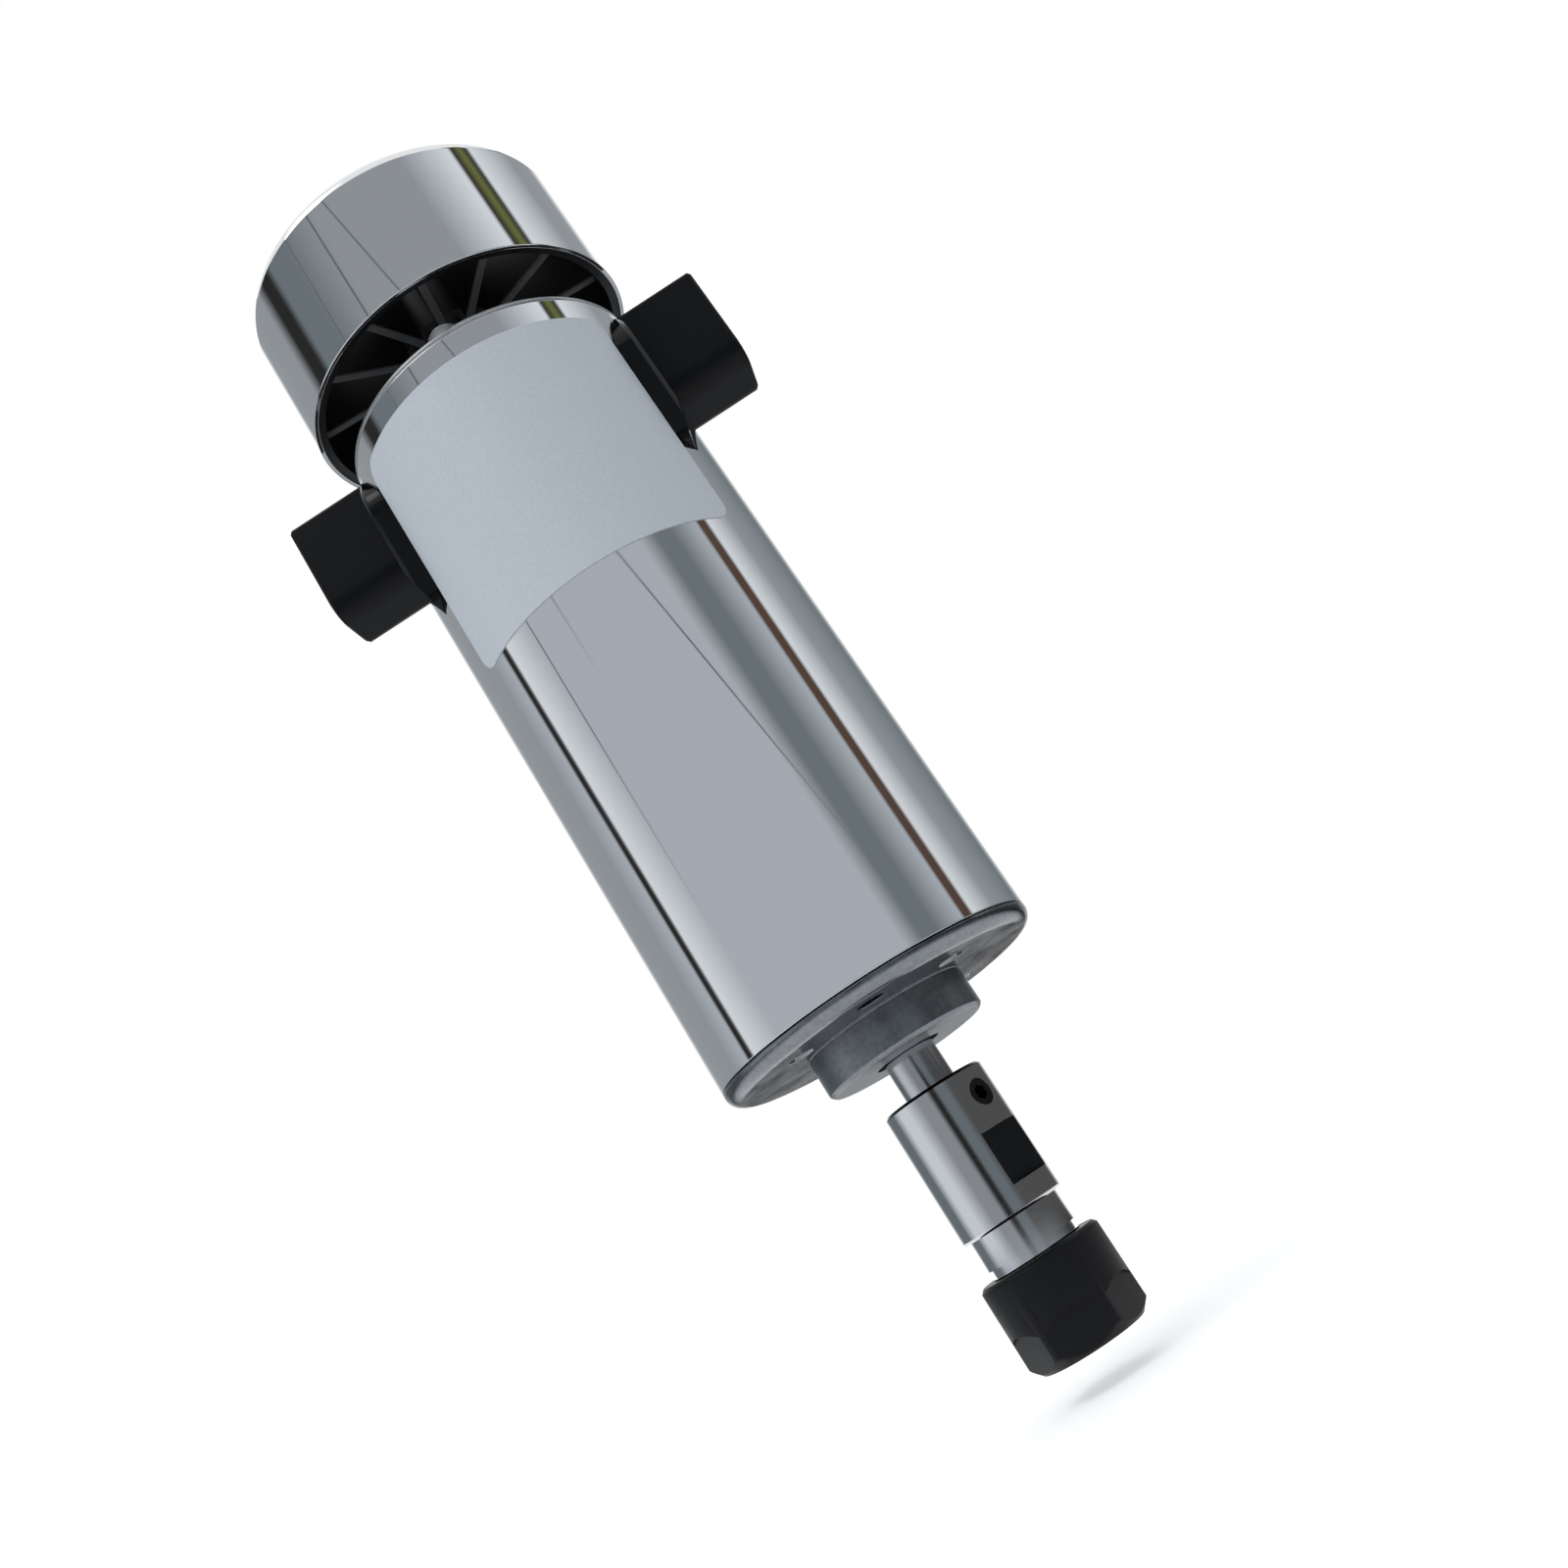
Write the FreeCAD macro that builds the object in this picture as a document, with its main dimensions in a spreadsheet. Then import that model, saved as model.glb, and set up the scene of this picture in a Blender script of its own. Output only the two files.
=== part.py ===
import FreeCAD, Part

import math
import os
import re

import Sketcher

# Brushed DC motor spindle, air cooled, with a spring collet chuck.
# Millimetres. The spindle axis is Z and the tool end points down.
# The origin is the centre of the bolt circle on the front face of the front cap.

doc = FreeCAD.newDocument("motor_spindle")
sheet = doc.addObject("Spreadsheet::Sheet", "Sizes")

# Driving sizes, one row each: name, value, what it is.
SIZES = [
    ("tube_radius", 26.0, "outer radius of the motor tube"),
    ("tube_wall", 2.0, "wall of the motor tube"),
    ("tube_length", 117.5, "length of the motor tube"),
    ("press_fit_gap", 0.02, "radial gap left where one piece is pressed in another"),
    ("running_gap", 0.05, "radial gap of a running fit"),
    ("seat_gap", 0.05, "gap of pieces that are laid or slid together"),
    ("cap_flange", 2.5, "front cap in front of the tube"),
    ("cap_edge_radius", 2.1, "rounded outer edge of the front cap"),
    ("cap_spigot", 6.0, "front cap inside the tube"),
    ("boss_radius", 13.0, "round boss on the front cap"),
    ("boss_length", 6.3, "boss height"),
    ("boss_chamfer", 0.6, "chamfer at the boss's edge"),
    ("boss_bore_gap", 1.15, "shaft to the hole that it leaves by"),
    ("boss_wall", 1.8, "metal in front of the front bearing"),
    ("bolt_circle", 17.5, "radius of the mounting hole circle"),
    ("bolt_hole_radius", 1.65, "tapping hole of a mounting thread"),
    ("bolt_mouth_radius", 2.05, "countersunk mouth of a mounting thread"),
    ("bolt_hole_depth", 5.0, "depth of a mounting thread"),
    ("bolt_count", 4, "mounting holes"),
    ("tie_core_gap", 0.35, "tie bolts to the turning armature stack"),
    ("tie_radius", 2.0, "tie bolt shank"),
    ("tie_end_depth", 1.5, "how far the tie bolt ends behind the front face"),
    ("tie_head_radius", 3.5, "tie bolt head"),
    ("tie_head_height", 2.2, "tie bolt head"),
    ("tie_socket", 1.5, "half width across the flats of the bolt's hexagon socket"),
    ("tie_socket_depth", 1.2, "depth of that socket"),
    ("rear_flange", 1.5, "rear cap behind the tube"),
    ("rear_edge_chamfer", 0.8, "chamfered outer edge of the rear cap"),
    ("rear_spigot", 2.0, "rear cap inside the tube"),
    ("rear_recess_radius", 16.0, "round recess on the inner side of the rear cap"),
    ("rear_boss_radius", 13.5, "bearing cup of the rear cap"),
    ("rear_boss_chamfer", 0.8, "chamfer at that cup's edge"),
    ("rear_boss_wall", 1.2, "metal behind the rear bearing"),
    ("rear_bore_gap", 0.6, "shaft to the hole that it leaves by at the rear"),
    ("rear_bearing_inset", 0.5, "rear bearing, from the end of the tube towards the front"),
    ("bearing_race", 2.0, "radial thickness of each ring of the bearing"),
    ("bearing_radius", 11.0, "outer radius of the bearing"),
    ("bearing_width", 7.0, "width of the bearing"),
    ("seal_thickness", 0.8, "rubber seal of the bearing"),
    ("seal_inset", 0.2, "seal from the bearing's face"),
    ("wave_gap", 0.5, "room for the wave washer behind the rear bearing"),
    ("wave_thickness", 0.4, "wave washer"),
    ("wave_width", 1.7, "wave washer, radial width"),
    ("magnet_thickness", 5.6, "field magnet"),
    ("magnet_overhang", 2.5, "field magnet beyond each end of the armature stack"),
    ("magnet_arc", 136.0, "angle that one field magnet covers"),
    ("air_gap", 0.6, "magnet to armature"),
    ("shaft_radius", 4.0, "shaft at the bearings and at both ends"),
    ("shaft_body", 5.0, "shaft between the bearings"),
    ("shaft_chamfer", 0.5, "chamfer at the ends of the shaft"),
    ("shaft_shoulder_gap", 0.1, "shoulder to bearing"),
    ("shaft_grip", 16.5, "shaft held inside the chuck rod"),
    ("core_offset", 15.5, "armature stack behind the inner face of the front cap"),
    ("commutator_gap", 13.7, "armature stack to the commutator"),
    ("slot_count", 12, "armature slots"),
    ("slot_mouth", 1.1, "half width of a slot's mouth"),
    ("slot_lip", 1.4, "depth of a slot's lips"),
    ("slot_half", 2.2, "half width of a slot at its outer end"),
    ("slot_root", 1.0, "half width of a slot at its root"),
    ("slot_bottom", 8.6, "radius of a slot's root"),
    ("slot_lining", 0.15, "slot wall to copper"),
    ("fibre_thickness", 1.0, "fibre disc on each end of the stack"),
    ("coil_overhang", 8.0, "coil heads beyond the fibre discs"),
    ("coil_head_drop", 1.38, "coil heads below the surface of the stack"),
    ("coil_head_inner", 7.0, "inner radius of the coil heads"),
    ("coil_head_round", 2.5, "chamfer of the coil heads"),
    ("commutator_radius", 11.0, "running face of the commutator"),
    ("commutator_length", 15.0, "commutator bars along the axis"),
    ("commutator_bars", 24, "bars"),
    ("bar_gap", 2.2, "angle left between bars"),
    ("bar_depth", 3.0, "radial height of a bar"),
    ("riser_height", 1.6, "riser at the coil end of a bar"),
    ("riser_length", 2.2, "riser along the axis"),
    ("commutator_setback", 1.6, "commutator from the rear cap's bearing seat"),
    ("brush_axial", 10.0, "carbon brush along the spindle axis"),
    ("brush_width", 6.0, "carbon brush across"),
    ("brush_contact_gap", 0.05, "brush to commutator"),
    ("neck_spigot_gap", 0.42, "neck of the brush holder to the rear cap's spigot"),
    ("guide_gap", 0.08, "brush to brass guide"),
    ("guide_wall", 0.6, "brass guide"),
    ("guide_riser_gap", 1.0, "brass guide to the commutator's risers"),
    ("terminal_room", 1.2, "room for the terminal plate between guide and brush cap"),
    ("terminal_thickness", 0.8, "brass terminal plate"),
    ("terminal_width", 10.6, "brass terminal plate across"),
    ("terminal_reach", 7.6, "terminal plate from the brush axis, front and rear"),
    ("box_half_width", 7.2, "brush box, half its width"),
    ("box_reach", 13.5, "outer face of the brush box beyond the tube"),
    ("box_front_reach", 10.2, "front end of the brush box from the brush axis"),
    ("box_rear_reach", 8.9, "rear end of the brush box from the brush axis"),
    ("box_front_round", 4.0, "rounded front corners of the brush box"),
    ("box_rear_round", 0.8, "rounded rear corners of the brush box"),
    ("box_edge", 0.5, "chamfered rim of the brush box"),
    ("saddle_front_reach", 22.3, "front end of the curved saddle from the brush axis"),
    ("saddle_rear_reach", 9.9, "rear end of the curved saddle from the brush axis"),
    ("saddle_half_width", 13.9, "saddle, half its width"),
    ("saddle_front_round", 4.0, "rounded front corners of the saddle"),
    ("saddle_rear_round", 12.0, "rounded rear corners of the saddle"),
    ("saddle_drop", 0.5, "flat outer side of the saddle inside the tube's outermost line"),
    ("saddle_edge", 0.8, "chamfer along the saddle's outer edge"),
    ("ramp_drop", 2.1, "fall of the ramp at the saddle's front"),
    ("ramp_length", 8.8, "length of that ramp along the axis"),
    ("neck_wall", 1.4, "moulded neck round the brass guide, inside the tube"),
    ("neck_depth", 3.0, "neck reaches in past the tube's outer face"),
    ("window_gap", 0.25, "neck to the window in the tube"),
    ("cap_screw_radius", 6.0, "slotted brush cap"),
    ("cap_screw_length", 4.3, "slotted brush cap"),
    ("cap_screw_inset", 0.6, "brush cap behind the box's outer face"),
    ("cap_slot_width", 1.4, "slot in the brush cap"),
    ("cap_slot_depth", 1.4, "slot in the brush cap"),
    ("cable_hole", 2.3, "radius of the cable hole in the box's rear end"),
    ("spring_radius", 2.2, "brush spring, to the middle of the wire"),
    ("spring_wire", 0.5, "brush spring, thickness of its square wire"),
    ("spring_length", 7.55, "brush spring, from the brush to its cap"),
    ("spring_turns", 4, "turns of the brush spring"),
    ("fan_gap", 7.5, "rear cap to the front rim of the fan"),
    ("shell_radius", 29.0, "fan shell"),
    ("shell_wall", 0.7, "fan shell"),
    ("shell_length", 25.5, "fan shell along the axis"),
    ("shell_round", 3.0, "rounded rear edge of the fan shell"),
    ("shell_lip", 6.5, "width of the shell's rear lip round the air intake"),
    ("ring_wall", 1.3, "moulded ring of the fan inside its shell"),
    ("ring_inset", 0.4, "moulded ring behind the shell's front rim"),
    ("vane_count", 12, "fan vanes"),
    ("vane_thickness", 1.4, "fan vane"),
    ("vane_inset", 5.5, "front edge of the vanes behind the shell's front rim"),
    ("vane_length", 16.0, "fan vanes along the axis"),
    ("fan_turn", 4.0, "angle of the first vane from +X"),
    ("fan_hub_radius", 9.0, "moulded hub of the fan"),
    ("bush_flange_radius", 7.0, "metal bush of the fan, its flange"),
    ("bush_flange_length", 8.0, "flange of the bush, along the axis"),
    ("bush_radius", 5.5, "bush inside the moulded hub"),
    ("bush_length", 13.0, "bush inside the moulded hub"),
    ("fan_washer_radius", 7.5, "washer on the end of the shaft"),
    ("fan_washer_thickness", 1.0, "washer on the end of the shaft"),
    ("fan_screw_radius", 2.0, "screw in the end of the shaft"),
    ("fan_screw_length", 10.0, "screw in the end of the shaft"),
    ("fan_head_radius", 3.5, "head of that screw"),
    ("fan_head_height", 2.4, "head of that screw"),
    ("shaft_thread_depth", 13.0, "tapped hole in the rear end of the shaft"),
    ("rod_gap", 6.2, "front of the boss to the chuck rod"),
    ("rod_radius", 8.0, "chuck rod"),
    ("rod_length", 20.5, "chuck rod, its full diameter"),
    ("rod_chamfer", 0.4, "chamfers of the chuck rod"),
    ("neck_radius", 7.0, "neck of the chuck rod"),
    ("neck_length", 4.5, "neck of the chuck rod"),
    ("relief_radius", 6.5, "groove behind the thread"),
    ("relief_length", 1.2, "groove behind the thread"),
    ("thread_radius", 6.95, "threaded nose of the chuck rod"),
    ("thread_length", 8.9, "threaded nose of the chuck rod"),
    ("rod_turn", -41.6, "angle of the grub screw from +X"),
    ("flat_depth", 1.0, "depth of a wrench flat"),
    ("flat_start", 9.1, "wrench flats from the rear end of the rod"),
    ("flat_length", 7.9, "wrench flats along the axis"),
    ("grub_radius", 2.0, "grub screw"),
    ("grub_drop", 4.2, "grub screw from the rear end of the rod"),
    ("grub_inset", 0.25, "grub screw below the rod's surface"),
    ("grub_socket", 1.0, "half width across the flats of the grub screw's socket"),
    ("grub_socket_depth", 1.8, "depth of that socket"),
    ("grub_count", 2, "grub screws"),
    ("rod_hole", 2.5, "hole between the shaft's bore and the taper"),
    ("rod_web", 2.6, "metal between the shaft's bore and the taper"),
    ("collet_radius", 5.75, "largest radius of the collet"),
    ("collet_length", 18.0, "collet"),
    ("collet_nose", 4.0, "collet in front of its largest radius"),
    ("collet_taper", 8.0, "half angle of the collet's long taper"),
    ("collet_seat_angle", 30.0, "half angle of the collet's short cone"),
    ("collet_cone", 1.45, "length of the collet's short cone"),
    ("collet_groove", 4.45, "radius of the collet's groove"),
    ("collet_groove_width", 1.25, "width of the collet's groove"),
    ("collet_bore", 1.5875, "radius of the tool shank that the collet holds"),
    ("collet_slots", 6, "slits from each end of the collet"),
    ("collet_slit", 0.4, "width of a slit"),
    ("collet_bridge", 3.0, "metal left at the end of a slit"),
    ("collet_turn", 15.0, "angle of the first front slit from +X"),
    ("collet_protrusion", 0.3, "largest radius of the collet in front of the rod's nose"),
    ("taper_gap", 0.04, "collet to its taper"),
    ("nut_radius", 9.5, "collet nut"),
    ("nut_length", 13.6, "collet nut"),
    ("nut_rear_chamfer", 0.6, "chamfer at the nut's rear edge"),
    ("nut_front_chamfer", 1.5, "chamfer at the nut's front edge"),
    ("nut_front_radius", 8.1, "radius of the nut's front face"),
    ("nut_flat_depth", 1.0, "depth of a flat of the nut"),
    ("nut_flat_length", 6.3, "nut flats along the axis"),
    ("nut_flat_round", 8.0, "radius of the cutter that mills the flats"),
    ("nut_turn", 28.0, "angle of the first nut flat from +X"),
    ("nut_lip", 4.6, "radius of the lip that sits in the collet's groove"),
    ("nut_opening", 5.2, "radius of the nut's mouth"),
    ("nut_recess", 0.6, "collet's face behind the nut's face"),
    ("lip_gap", 0.12, "lip to the sides of the collet's groove"),
]

# Places and sizes that follow from the driving ones.
DERIVED = {
    "tube_inner": "tube_radius - tube_wall",
    "tube_top": "cap_flange + tube_length",
    "cap_inside": "cap_flange + cap_spigot",
    "boss_bore": "shaft_radius + boss_bore_gap",
    "rear_bore": "shaft_radius + rear_bore_gap",
    "tie_circle": "max(tie_by_core; tie_by_cup)",
    "tie_by_core": "core_radius + tie_core_gap + tie_radius",
    "tie_by_cup": "rear_boss_radius + tie_head_radius + 2 * seat_gap",
    "bearing_bore": "shaft_radius",
    "bearing_inner": "bearing_bore + bearing_race",
    "bearing_outer": "bearing_radius - bearing_race",
    "front_bearing_low": "boss_wall - boss_length",
    "front_bearing_high": "front_bearing_low + bearing_width",
    "rear_bearing_low": "tube_top - rear_bearing_inset",
    "rear_bearing_high": "rear_bearing_low + bearing_width",
    "wave_seat": "rear_bearing_high + wave_gap",
    "rear_boss_end": "wave_seat + rear_boss_wall",
    "rear_face": "tube_top + rear_flange",
    "rear_floor": "tube_top - rear_spigot",
    "rear_seat": "rear_bearing_low - 0.2",
    "magnet_outer": "tube_inner - press_fit_gap",
    "magnet_inner": "magnet_outer - magnet_thickness",
    "core_radius": "magnet_inner - air_gap",
    "coil_head_radius": "core_radius - coil_head_drop",
    "core_low": "cap_inside + core_offset",
    "core_high": "commutator_low - commutator_gap",
    "core_length": "core_high - core_low",
    "commutator_high": "rear_seat - commutator_setback",
    "commutator_low": "commutator_high - commutator_length",
    "hub_radius": "commutator_radius - bar_depth",
    "riser_radius": "commutator_radius + riser_height",
    "brush_inner": "commutator_radius + brush_contact_gap",
    "guide_half_width": "brush_width / 2 + guide_gap",
    "guide_half_axial": "brush_axial / 2 + guide_gap",
    "sleeve_half_width": "guide_half_width + guide_wall",
    "sleeve_half_axial": "guide_half_axial + guide_wall",
    "neck_half_width": "sleeve_half_width + neck_wall",
    "neck_half_axial": "sleeve_half_axial + neck_wall",
    "brush_height": "rear_floor - neck_half_axial - neck_spigot_gap",
    "box_outer": "tube_radius + box_reach",
    "box_front": "brush_height - box_front_reach",
    "box_rear": "brush_height + box_rear_reach",
    "saddle_front": "brush_height - saddle_front_reach",
    "saddle_rear": "brush_height + saddle_rear_reach",
    "saddle_top": "tube_radius - saddle_drop",
    "saddle_ramp_foot": "saddle_top - ramp_drop",
    "saddle_ramp_end": "saddle_front + ramp_length",
    "cap_screw_low": "box_outer - cap_screw_inset - cap_screw_length",
    "guide_inner": "riser_radius + guide_riser_gap",
    "guide_outer": "cap_screw_low - terminal_room",
    "brush_outer": "cap_screw_low - spring_length",
    "ramp_rise": "ramp_length / ramp_drop",
    "shell_low": "rear_face + fan_gap",
    "shell_high": "shell_low + shell_length",
    "shell_opening": "shell_radius - shell_lip",
    "ring_outer": "shell_radius - shell_wall - press_fit_gap",
    "ring_inner": "ring_outer - ring_wall",
    "ring_low": "shell_low + ring_inset",
    "ring_high": "shell_high - shell_round",
    "vane_low": "shell_low + vane_inset",
    "bush_low": "shell_low",
    "bush_middle": "bush_low + bush_flange_length",
    "bush_high": "bush_middle + bush_length",
    "shaft_high": "bush_high - 0.5",
    "rod_high": "-boss_length - rod_gap",
    "rod_low": "rod_high - rod_length",
    "flat_half": "rod_radius - flat_depth",
    "neck_low": "rod_low - neck_length",
    "thread_high": "neck_low - relief_length",
    "nose": "thread_high - thread_length",
    "shaft_low": "rod_high - shaft_grip",
    "collet_widest": "nose - collet_protrusion",
    "collet_face": "collet_widest - collet_nose",
    "collet_rear": "collet_face + collet_length",
    "groove_high": "collet_widest - collet_cone",
    "groove_low": "groove_high - collet_groove_width",
    "collet_rim": "collet_radius - collet_cone * tan(collet_seat_angle * 1deg)",
    "nut_low": "collet_face - nut_recess",
    "nut_high": "nut_low + nut_length",
    "nut_flat_half": "nut_radius - nut_flat_depth",
}

ALIASES = {name for name, value, meaning in SIZES}
WORD = re.compile(r"[a-z][a-z_]*")


def fill_sheet():
    for row, (name, value, meaning) in enumerate(SIZES, 1):
        sheet.set("A%d" % row, name)
        sheet.set("B%d" % row, str(value))
        sheet.set("C%d" % row, meaning)
        sheet.setAlias("B%d" % row, name)
    doc.recompute()


def bound(text):
    """The text with each derived name written out and each size named in the sheet."""

    def name_in_sheet(match):
        name = match.group(0)
        if name in DERIVED:
            return "(" + bound(DERIVED[name]) + ")"
        if name in ALIASES:
            return "Sizes." + name
        return name

    return WORD.sub(name_in_sheet, text)


def number(text):
    return float(sheet.evalExpression(bound(text)))


def piece(label, turn="0"):
    """A new body that is turned about the spindle axis."""
    body = doc.addObject("PartDesign::Body", label)
    body.Label = label
    body.AllowCompound = True
    body.Placement = FreeCAD.Placement(FreeCAD.Vector(), FreeCAD.Vector(0, 0, 1), 0)
    body.setExpression(".Placement.Rotation.Angle", bound(turn))
    return body


def origin_part(body, role):
    return [part for part in body.Origin.OriginFeatures if part.Role == role][0]


def sketch_on(body, plane, lift="0"):
    sketch = body.newObject("Sketcher::SketchObject", body.Label + "_sketch")
    sketch.AttachmentSupport = [(origin_part(body, plane + "_Plane"), "")]
    sketch.MapMode = "FlatFace"
    sketch.setExpression(".AttachmentOffset.Base.z", bound(lift))
    return sketch


def hold(sketch, kind, items, text):
    """A dimension of the sketch that follows the sheet."""
    value = number(text)
    index = sketch.addConstraint(Sketcher.Constraint(kind, *items, value))
    sketch.setExpression("Constraints[%d]" % index, bound(text))


def arc_edge(start, end, radius, turn):
    """The shorter arc from start to end, turning left for +1 and right for -1."""
    chord = end - start
    middle = (start + end) * 0.5
    left = FreeCAD.Vector(-chord.y, chord.x, 0).normalize()
    rise = math.sqrt(max(radius**2 - (chord.Length / 2) ** 2, 0.0))
    centre = middle + left * rise * turn
    first, last = (start, end) if turn > 0 else (end, start)
    circle = Part.Circle(centre, FreeCAD.Vector(0, 0, 1), radius)
    from_angle = math.atan2(first.y - centre.y, first.x - centre.x)
    to_angle = math.atan2(last.y - centre.y, last.x - centre.x)
    return Part.ArcOfCircle(circle, from_angle, to_angle)


def outline(sketch, points):
    """A closed outline. A point is (x, y), or (x, y, radius, turn) where an arc leaves it."""
    places = [FreeCAD.Vector(number(point[0]), number(point[1]), 0) for point in points]
    edges = []
    for index, point in enumerate(points):
        start = places[index]
        end = places[(index + 1) % len(points)]
        if len(point) == 2:
            edges.append((sketch.addGeometry(Part.LineSegment(start, end), False), 1, 2))
        else:
            arc = arc_edge(start, end, number(point[2]), point[3])
            ends = (1, 2) if point[3] > 0 else (2, 1)
            edges.append((sketch.addGeometry(arc, False), *ends))
    for index, (edge, start_end, far_end) in enumerate(edges):
        following = edges[(index + 1) % len(edges)]
        sketch.addConstraint(Sketcher.Constraint("Coincident", edge, far_end, following[0], following[1]))
    for (edge, start_end, far_end), point in zip(edges, points):
        hold(sketch, "DistanceX", (-1, 1, edge, start_end), point[0])
        hold(sketch, "DistanceY", (-1, 1, edge, start_end), point[1])
        if len(point) == 4:
            hold(sketch, "Radius", (edge,), point[2])


def circle(sketch, x, y, radius):
    place = FreeCAD.Vector(number(x), number(y), 0)
    edge = sketch.addGeometry(Part.Circle(place, FreeCAD.Vector(0, 0, 1), number(radius)), False)
    hold(sketch, "DistanceX", (-1, 1, edge, 3), x)
    hold(sketch, "DistanceY", (-1, 1, edge, 3), y)
    hold(sketch, "Radius", (edge,), radius)


def rectangle(sketch, left, low, right, high):
    outline(sketch, [(left, low), (right, low), (right, high), (left, high)])


def hexagon(sketch, x, y, half_flats):
    """A hexagon with two flats across the sketch's X."""
    corner = "(" + half_flats + ") / cos(30deg)"
    points = []
    for index in range(6):
        angle = "%ddeg" % (30 + 60 * index)
        points.append((f"{x} + {corner} * cos({angle})", f"{y} + {corner} * sin({angle})"))
    outline(sketch, points)


def finish(feature, grows):
    """Recomputes, and stops where a cut removes nothing or a pad adds nothing."""
    doc.recompute()
    base = feature.BaseFeature
    before = base.Shape.Volume if base else 0.0
    change = feature.Shape.Volume - before
    if (change <= 0) if grows else (change >= 0):
        raise RuntimeError("%s changed nothing" % feature.Label)
    return feature


def revolve(body, *outlines, plane="XZ", angle=None):
    """Material turned about the vertical axis of the sketch."""
    sketch = sketch_on(body, plane)
    for points in outlines:
        outline(sketch, points)
    feature = body.newObject("PartDesign::Revolution", body.Label + "_revolve")
    feature.Profile = sketch
    feature.ReferenceAxis = (sketch, ["V_Axis"])
    feature.Angle = 360
    if angle:
        feature.setExpression("Angle", bound(angle))
        feature.Midplane = True
    return finish(feature, True)


def pad(body, sketch, length, back=False):
    feature = body.newObject("PartDesign::Pad", body.Label + "_pad")
    feature.Profile = sketch
    feature.Reversed = back
    feature.setExpression("Length", bound(length))
    return finish(feature, True)


def pocket(body, sketch, length, back=False):
    """A cut below the sketch's plane, or above it with back."""
    feature = body.newObject("PartDesign::Pocket", body.Label + "_pocket")
    feature.Profile = sketch
    feature.Reversed = back
    feature.setExpression("Length", bound(length))
    return finish(feature, False)


def around(body, features, count):
    """The features repeated round the spindle axis."""
    pattern = body.newObject("PartDesign::PolarPattern", body.Label + "_pattern")
    pattern.Originals = features
    pattern.Axis = (origin_part(body, "Z_Axis"), [""])
    pattern.Angle = 360
    pattern.setExpression("Occurrences", bound(count))
    body.Tip = pattern
    doc.recompute()
    return pattern


def chamfered(body, size, chosen):
    """A chamfer on the edges of the body's last shape that the test chooses."""
    base = body.Tip
    names = ["Edge%d" % (i + 1) for i, edge in enumerate(base.Shape.Edges) if chosen(edge)]
    if not names:
        raise RuntimeError("no edge to chamfer on %s" % body.Label)
    feature = body.newObject("PartDesign::Chamfer", body.Label + "_chamfer")
    feature.Base = (base, names)
    feature.setExpression("Size", bound(size))
    finish(feature, False)
    return feature


def ring(label, inner, outer, low, high, turn="0"):
    """A plain ring or sleeve."""
    body = piece(label, turn)
    revolve(body, [(inner, low), (outer, low), (outer, high), (inner, high)])
    return body


def lies_at(edge, axis, place):
    """True where the whole edge lies on the plane axis = place."""
    box = edge.BoundBox
    low = getattr(box, axis + "Min")
    high = getattr(box, axis + "Max")
    return abs(low - place) < 0.01 and abs(high - place) < 0.01


def on_box_rim(edge):
    """True for the edges of the box's outer face, not for its round opening."""
    return edge.BoundBox.Center.y**2 + (edge.BoundBox.Center.z - number("brush_height")) ** 2 > 1


# The motor's case.


def body_tube():
    """The polished tube, with a window on each side for the brush guides."""
    body = ring("body_tube", "tube_inner", "tube_radius", "cap_flange", "tube_top")
    sketch = sketch_on(body, "YZ", "-tube_radius - 1")
    half_width = "neck_half_width + window_gap"
    half_axial = "neck_half_axial + window_gap"
    rectangle(
        sketch,
        "-(" + half_width + ")",
        "brush_height - (" + half_axial + ")",
        half_width,
        "brush_height + " + half_axial,
    )
    pocket(body, sketch, "2 * tube_radius + 2", back=True)


def front_cap():
    """The front end cap: rounded flange, bearing boss, spigot, tapped holes."""
    body = piece("front_cap")
    spigot = "tube_inner - press_fit_gap"
    revolve(
        body,
        [
            ("boss_bore", "-boss_length"),
            ("boss_radius - boss_chamfer", "-boss_length"),
            ("boss_radius", "-boss_length + boss_chamfer"),
            ("boss_radius", "0"),
            ("tube_radius - cap_edge_radius", "0", "cap_edge_radius", 1),
            ("tube_radius", "cap_edge_radius"),
            ("tube_radius", "cap_flange"),
            (spigot, "cap_flange"),
            (spigot, "cap_inside"),
            ("bearing_radius + press_fit_gap", "cap_inside"),
            ("bearing_radius + press_fit_gap", "front_bearing_low"),
            ("boss_bore", "front_bearing_low"),
        ],
    )
    sketch = sketch_on(body, "XY")
    circle(sketch, "bolt_circle * cos(45deg)", "bolt_circle * sin(45deg)", "bolt_hole_radius")
    hole = body.newObject("PartDesign::Hole", "mounting_hole")
    hole.Profile = sketch
    hole.Reversed = True
    hole.DepthType = "Dimension"
    hole.DrillPoint = "Flat"
    hole.HoleCutType = "Countersink"
    hole.HoleCutCustomValues = True
    hole.HoleCutCountersinkAngle = 90
    hole.setExpression("Diameter", bound("2 * bolt_hole_radius"))
    hole.setExpression("Depth", bound("bolt_hole_depth"))
    hole.setExpression("HoleCutDiameter", bound("2 * bolt_mouth_radius"))
    finish(hole, False)
    around(body, [hole], "bolt_count")
    for side in ("-tie_circle", "tie_circle"):
        sketch = sketch_on(body, "XY")
        circle(sketch, "0", side, "tie_radius + seat_gap")
        pocket(body, sketch, "cap_inside", back=True)


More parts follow.
